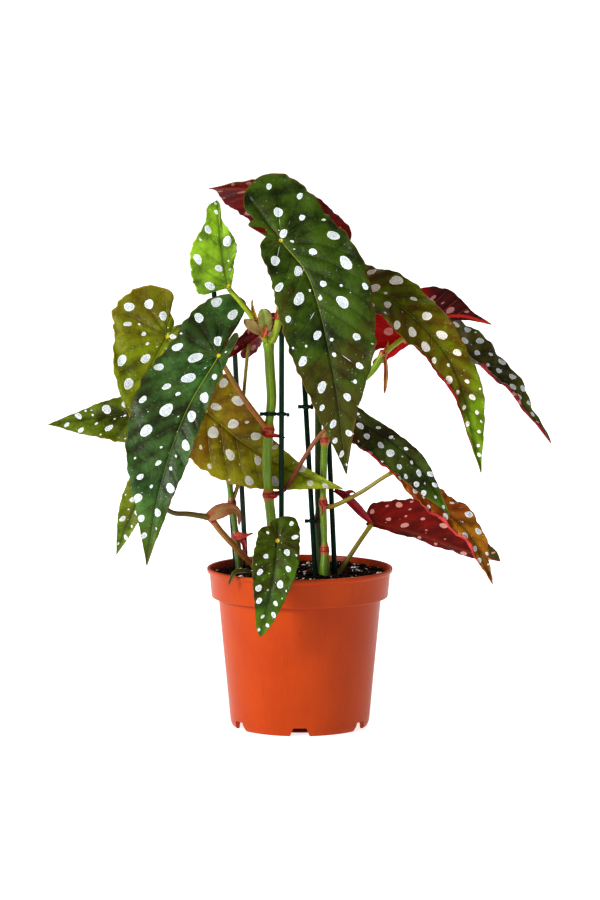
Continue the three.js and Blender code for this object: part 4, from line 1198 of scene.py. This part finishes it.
def stake_skin(name, colour, light, roughness):
    """Ribbed, coated plastic that wanders between two colours, with a few scuffs."""
    paint = Paint(name, roughness, STAKE_GLOSS)
    spot = paint.place()
    _, turn = paint.parts(paint.map("stalk"))
    ribs = paint.calc("SINE", paint.times(turn, 2 * math.pi * STAKE_RIBS))
    patches = paint.cloud(spot, 130, 3.0)
    paint.ground(paint.fade(patches, 0.35, 0.7), colour, light)
    scuffs = paint.cloud(paint.moved(spot, Scale=(1, 1, 0.1)), 900, 2.0)
    paint.coat(paint.fade(scuffs, 0.62, 0.74, 0.0, 0.25), tinted(light, 1, 60))
    paint.bump(paint.plus(paint.times(ribs, 0.5), scuffs), 0.3, 0.0003)
    return paint.finish(paint.fade(patches, 0.3, 0.7, roughness, roughness + 0.12))


STAKE_GREEN = stake_skin("stake_green", (3, 34, 18), (8, 50, 28), 0.30)
STAKE_GREY = stake_skin("stake_grey", (60, 78, 70), (88, 104, 92), 0.5)
STAKE_RADIUS = 1.65        # mm
STAKE_SIDES, STAKE_RINGS = 18, 60
STAKES = dict(
    stake_front=([-12, -12, 40], [-11.5, -25, 268]),
    stake_left=([-38, 24, 50], [-57, 38, 290]),
    stake_centre=([13, -19, 46], [1, 4, 256]),
    stake_right=([25, -16, 46], [16, 6, 243]),
    stake_back=([-33, 28, 50], [-43, 46, 244]),
)
for name, (foot, top) in STAKES.items():
    middle = [(foot[k] + top[k]) / 2 for k in range(3)]
    skin, slot = (STAKE_GREY, "grey_stick") if name == "stake_back" else (STAKE_GREEN, "stick")
    make_tube("stick_" + name, Path([foot, middle, top]), lambda share: STAKE_RADIUS,
              STAKE_SIDES, STAKE_RINGS, [skin], slot, name)
print("stakes", len(STAKES))

# %% [markdown]
# A tie is a springy moulded loop. A small rounded section is spun round the stem and round the
# stake, and two short tabs stick out where fingers pinch it open.

# %% Ties
TIE_SKIN = stake_skin("tie_green", (3, 36, 24), (8, 54, 38), 0.3)
TIE_STEPS, TIE_SIDES = 40, 12
CANE_LOOP, STAKE_LOOP = 3.4, 2.05       # mm, inner radii
TAB_SIZES = ((2.2, 1.4, 2.4), (2.0, 1.4, 2.4))     # mm, the first tab and the last
TAB_DROP = (0, 0.4)                     # mm below the loops
TAB_OUT, TAB_BACK, TAB_ROUND = 0.9, -0.6, 0.35     # mm
TIES = dict(       # height, half width and half thickness of a loop, loops as x, y, inner radius
    clip_front=(204, 1.1, 0.55, [(-19, -20.1, CANE_LOOP), (-11.6, -21.4, STAKE_LOOP)]),
    clip_centre=(207, 1.2, 0.5, [(3.8, -1.4, STAKE_LOOP)]),
    clip_low=(134, 1.0, 0.45, [(8, -9.4, STAKE_LOOP)]),
)


def spun_ring(form, centre, radius, half_wide, half_thick):
    """A ring with a rounded section, spun round an upright line through `centre` (mm)."""
    made = bmesh.ops.create_circle(form, segments=TIE_SIDES, radius=1.0)["verts"]
    for vert in made:
        out, up = vert.co.x * half_thick, vert.co.y * half_wide
        vert.co = Vector((centre[0] + radius + out, centre[1], centre[2] + up)) * MM
    spin_round(form, made, TIE_STEPS, Vector(centre) * MM)


def tab(form, centre, size):
    """A small block with rounded edges; `centre` and `size` are in mm."""
    made = bmesh.ops.create_cube(form, size=1.0)["verts"]
    for vert in made:
        vert.co = Vector([centre[k] + vert.co[k] * size[k] for k in range(3)]) * MM
    bmesh.ops.bevel(form, geom=linked_edges(made), offset=TAB_ROUND * MM, segments=3,
                    profile=0.5, affect="EDGES", material=-1)


for name, (height, half_wide, half_thick, loops) in TIES.items():
    form = bmesh.new()
    for x, y, loop in loops:
        spun_ring(form, (x, y, height), loop + half_thick, half_wide, half_thick)
    reach = half_thick * 2 + TAB_OUT
    ends = ((loops[0], -1), (loops[-1], 1))
    for ((x, y, loop), way), size, drop in zip(ends, TAB_SIZES, TAB_DROP):
        tab(form, (x + way * (loop + reach), y + TAB_BACK, height - drop), size)
    close(form)
    publish("tie_" + name, form, [TIE_SKIN], "clip", name)
print("ties", len(TIES))

# %% [markdown]
# ## Pot
# An injection-moulded nursery pot is a shell of even thickness: a rolled lip, a straight collar, a
# step under it, a tapering body and a foot with notches that let water out. Its half section is
# drawn once, its corners rounded, and spun. The notches and drain holes are then cut away.

# %% Pot section
_, pot_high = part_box("pot")
POT_TOP = pot_high.z / MM
RIM = round(pot_high.y / MM, 1)
BAND_RADIUS, BAND_TALL = 57.0, 19.0        # mm, as all that follows: the collar
SHOULDER, BASE, WALL = 52.6, 45.0, 1.3     # the body's radius at its top and foot, and its wall
FOOT_TALL, FOOT_WIDE = 6.0, 3.2            # the ring that the pot stands on
BOSS = 9.0                                 # radius of the raised middle of the floor
SPIN_STEPS = 144
band = POT_TOP - BAND_TALL
POT_SECTION = [         # radius, height, rounding, in mm
    (BASE - FOOT_WIDE, 0, 0.4), (BASE - 1.3, 0, 0.8), (BASE, 3.0, 1.2),
    (BASE + 0.3, FOOT_TALL, 0), (SHOULDER, band, 0.5), (BAND_RADIUS, band, 0.9),
    (BAND_RADIUS + 1.5, POT_TOP - 3.4, 0.8), (RIM, POT_TOP - 2.6, 0.7), (RIM, POT_TOP, 0.9),
    (RIM - 1.9, POT_TOP, 0.7), (BAND_RADIUS + 0.4, POT_TOP - 3.2, 1.0),
    (BAND_RADIUS - WALL, band + 2, 0.6), (SHOULDER - WALL, band - 1.4, 0.6),
    (BASE + 0.3 - WALL, FOOT_TALL + WALL, 0.8),
]


def rounded_section(corners, steps=4):
    """The section's points, with each corner swapped for a short arc of its rounding."""
    points = []
    for index, (radius, height, rounding) in enumerate(corners):
        here = np.array((radius, height))
        if rounding == 0 or index in (0, len(corners) - 1):
            points.append(here)
            continue
        before, after = (np.array(corners[index + k][:2]) - here for k in (-1, 1))
        reach = min(rounding, np.linalg.norm(before) / 2.2, np.linalg.norm(after) / 2.2)
        start, end = here + unit(before) * reach, here + unit(after) * reach
        for k in range(steps + 1):
            s = k / steps
            points.append(start * (1 - s) ** 2 + here * 2 * s * (1 - s) + end * s ** 2)
    return points


section = [(0, 0), (BOSS, 0), (BOSS + 0.8, FOOT_TALL), (BASE - FOOT_WIDE, FOOT_TALL),
           *rounded_section(POT_SECTION), (0, FOOT_TALL + WALL)]
print("pot section points", len(section), "rim radius", RIM)

# %% [markdown]
# The plastic is satin and even in colour, with faint upright streaks from the mould and a little
# dried soil near the foot. Its grain is too fine to model, so a bump makes it.

# %% Pot finish
POT_GLOSS = 0.2
DIRT, DIRT_AMOUNT, DIRT_TALL = (110, 48, 24), 0.18, 0.024       # the last in metres

paint = Paint("pot_plastic", 0.36, POT_GLOSS)
spot = paint.place()
tone = paint.cloud(spot, 22, 3.0)
paint.ground(paint.fade(tone, 0.35, 0.65), (171, 61, 6), (179, 67, 8))
streaks = paint.cloud(paint.moved(spot, Scale=(1, 1, 0.12)), 420, 3.0, 0.65)
paint.coat(paint.fade(streaks, 0.58, 0.75, 0.0, 0.22), (190, 80, 26))
paint.coat(paint.fade(streaks, 0.40, 0.28, 0.0, 0.22), (144, 40, 2))
height_in_pot = paint.node("SeparateXYZ", Vector=spot).outputs["Z"]
dirt = paint.times(paint.fade(paint.cloud(spot, 700, 2.0), 0.58, 0.70),
                   paint.fade(height_in_pot, DIRT_TALL, 0.0))
paint.coat(paint.times(dirt, DIRT_AMOUNT), DIRT)
paint.bump(paint.plus(paint.times(streaks, 0.5), paint.cloud(spot, 1300, 2.0)), 0.22, 0.0003)
POT_SKIN = paint.finish(paint.plus(paint.fade(tone, 0.3, 0.7, 0.33, 0.42),
                                   paint.times(dirt, 0.3)))
print("finish", POT_SKIN.name)

# %% [markdown]
# The section is spun round the pot's axis. Six tapered blocks and six short rods, all in one
# cutter, are then taken away from it: the notches and the drain holes.

# %% Spin the pot and cut its notches
NOTCHES, NOTCH_WIDE, NOTCH_TALL = 6, 10.5, 5.5
NOTCH_FLARE = (1.5, -1.0)      # mm wider at the table and narrower at the top, on each side
NOTCH_DEEP, NOTCH_OUT = 6.2, 1.6
DRAIN_RADIUS, DRAIN_DEEP, DRAIN_IN = 4.0, 6, 3      # the last from the foot ring, inward
SHARP = math.radians(38)       # edges sharper than this stay crisp

pot_piece = publish("pot_shell", turned(section, SPIN_STEPS), [POT_SKIN], "pot", "pot")
cutter_form = bmesh.new()
for index in range(NOTCHES):
    turn = Matrix.Rotation(2 * math.pi * index / NOTCHES, 3, "Z")
    for vert in bmesh.ops.create_cube(cutter_form, size=1.0)["verts"]:
        flare, z = (NOTCH_FLARE[0], -1) if vert.co.z < 0 else (NOTCH_FLARE[1], NOTCH_TALL)
        x = 2 * vert.co.x * (NOTCH_WIDE / 2 + flare)
        y = vert.co.y * NOTCH_DEEP - BASE + FOOT_WIDE - NOTCH_OUT
        vert.co = turn @ Vector((x, y, z)) * MM
    drain = bmesh.ops.create_cone(cutter_form, cap_ends=True, segments=32, radius1=DRAIN_RADIUS,
                                  radius2=DRAIN_RADIUS, depth=DRAIN_DEEP)["verts"]
    inward = Vector((0, DRAIN_RADIUS + FOOT_WIDE + DRAIN_IN - BASE, FOOT_TALL))
    for vert in drain:
        vert.co = turn @ (vert.co + inward) * MM
cutter_mesh = bpy.data.meshes.new("pot_cutter")
cutter_form.to_mesh(cutter_mesh)
cutter_form.free()
cutter = bpy.data.objects.new("pot_cutter", cutter_mesh)
scene.collection.objects.link(cutter)
cut = pot_piece.modifiers.new("notches", "BOOLEAN")
cut.object = cutter
cut.solver = "EXACT"
bpy.context.view_layer.update()
whole_scene = bpy.context.evaluated_depsgraph_get()
cut_mesh = bpy.data.meshes.new_from_object(pot_piece.evaluated_get(whole_scene))
pot_piece.modifiers.clear()
pot_piece.data = cut_mesh
bpy.data.objects.remove(cutter)
cut_mesh.shade_smooth()
cut_mesh.set_sharp_from_angle(angle=SHARP)
print("pot faces", len(cut_mesh.polygons))

# %% [markdown]
# ## Soil
# Potting mix is dark peat with bark chips and white perlite. The bed is a spun disc whose top is
# pushed up and down by noise. The bits on it are small rough balls of a few dozen faces, scattered
# by a seeded draw, partly sunk and each squashed and turned its own way.

# %% Soil bed
SOIL_TOP = 98.0        # mm
SOIL_GLOSS = 0.08
SOIL_LOW = 10.0        # mm above the table
BED_RINGS, BED_STEPS = 44, 160
BED_GAP = 0.2          # mm to the solid's own rim
_, soil_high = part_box("soil")
BED_RADIUS = soil_high.x / MM - BED_GAP

paint = Paint("potting_mix", 0.92, SOIL_GLOSS)
spot = paint.place()
lumps = paint.cloud(spot, 260, 5.0, 0.7)
flecks = paint.cloud(spot, 900, 3.0, 0.6)
paint.ground(paint.fade(lumps, 0.36, 0.66), (6, 4, 3), (34, 22, 14))
paint.coat(paint.fade(flecks, 0.64, 0.74, 0.0, 0.5), (84, 56, 34))
paint.bump(paint.plus(lumps, flecks), 0.9, 0.0015)
SOIL_SKIN = paint.finish()


def soil_height(x, y):
    """Height of the soil in mm above its mean, at a place in mm."""
    spot = Vector((x, y, 0))
    broad = 1.5 * noise.noise(spot / 17)
    crumbs = 1.1 * noise.noise(spot / 4.2 + Vector((9, 2, 5))) + 0.5 * noise.noise(spot / 1.7)
    edge = max(0.0, math.hypot(x, y) - BED_RADIUS + 6) / 6
    return broad + crumbs + 0.8 * edge ** 2


top_rings = [(BED_RADIUS * k / BED_RINGS, SOIL_TOP) for k in range(BED_RINGS, -1, -1)]
bed_form = turned([(0, SOIL_LOW), (BASE - 2, SOIL_LOW), (SHOULDER - 2, band - 4),
                   (BAND_RADIUS - 2, band + 4), *top_rings], BED_STEPS)
for vert in bed_form.verts:
    if vert.co.z > (SOIL_TOP - 0.5) * MM:
        vert.co.z += soil_height(vert.co.x / MM, vert.co.y / MM) * MM
bed = publish("soil_bed", bed_form, [SOIL_SKIN], "soil", "soil")
print("soil faces", len(bed.data.polygons))


# %% [markdown]
# The loose bits on top make the mix look real: dark peat crumbs by the hundred, reddish bark,
# white perlite and a few straws. Each kind is one piece, so it is made and coloured in one go.


# %% Bark chips, peat crumbs and perlite
def crumb_skin(name, dark, light):
    """A dull, rough skin between two colours."""
    paint = Paint(name, 0.9, SOIL_GLOSS)
    patches = paint.cloud(paint.place(), 380, 4.0, 0.65)
    paint.ground(paint.fade(patches, 0.35, 0.68), dark, light)
    paint.bump(paint.cloud(paint.place(), 1500, 3.0), 0.6, 0.0005)
    return paint.finish()


BITS = (       # name, finish, colours, how many, size in mm, flatness, subdivisions, how sunk
    ("peat_crumbs", "peat", (5, 3, 2), (50, 28, 14), 1100, (1.2, 4.4), (0.5, 0.9), 1, 0.30),
    ("bark_chips", "bark", (60, 24, 8), (140, 66, 26), 150, (1.4, 3.6), (0.3, 0.6), 2, 0.2),
    ("perlite_beads", "perlite", (222, 218, 208), (252, 251, 247), 230, (0.8, 2.5), (0.7, 1.0),
     2, 0.15),
    ("straw_bits", "straw", (128, 96, 50), (184, 152, 98), 70, (1.2, 3.8), (0.12, 0.25), 1, 0.1),
)
SPREAD = BED_RADIUS * 0.965    # mm from the middle to the outermost bit
BIT_LONG, BIT_WIDE = (1.0, 1.7), (0.6, 1.0)    # against half a bit's size
ROUGH = (-0.22, 0.18)          # how far each point of a bit is pushed in or out
draw = random.Random(17)


def scatter(name, skin, count, size, flat, steps, sink):
    """`count` rough balls on the soil; `size` and `flat` are ranges, `sink` how deep they sit."""
    form = bmesh.new()
    for _ in range(count):
        reach, turn = SPREAD * math.sqrt(draw.random()), draw.uniform(0, 2 * math.pi)
        x, y = reach * math.cos(turn), reach * math.sin(turn)
        half = draw.uniform(*size) / 2
        stretch = Vector([half * draw.uniform(*span) for span in (BIT_LONG, BIT_WIDE, flat)])
        lean = Matrix.Rotation(draw.uniform(0, 2 * math.pi), 3, "Z")
        lean = lean @ Matrix.Rotation(draw.gauss(0, 0.35), 3, "X")
        centre = Vector((x, y, SOIL_TOP + soil_height(x, y) + stretch.z * (1 - 2 * sink)))
        for vert in bmesh.ops.create_icosphere(form, subdivisions=steps, radius=1.0)["verts"]:
            bump = 1 + draw.uniform(*ROUGH)
            point = Vector([vert.co[k] * stretch[k] * bump for k in range(3)])
            vert.co = (centre + lean @ point) * MM
    piece = publish(name, form, [skin], "soil")
    print(name, count, "bits,", len(piece.data.polygons), "faces")


for name, skin_name, dark, light, *sizes in BITS:
    scatter(name, crumb_skin(skin_name, dark, light), *sizes)
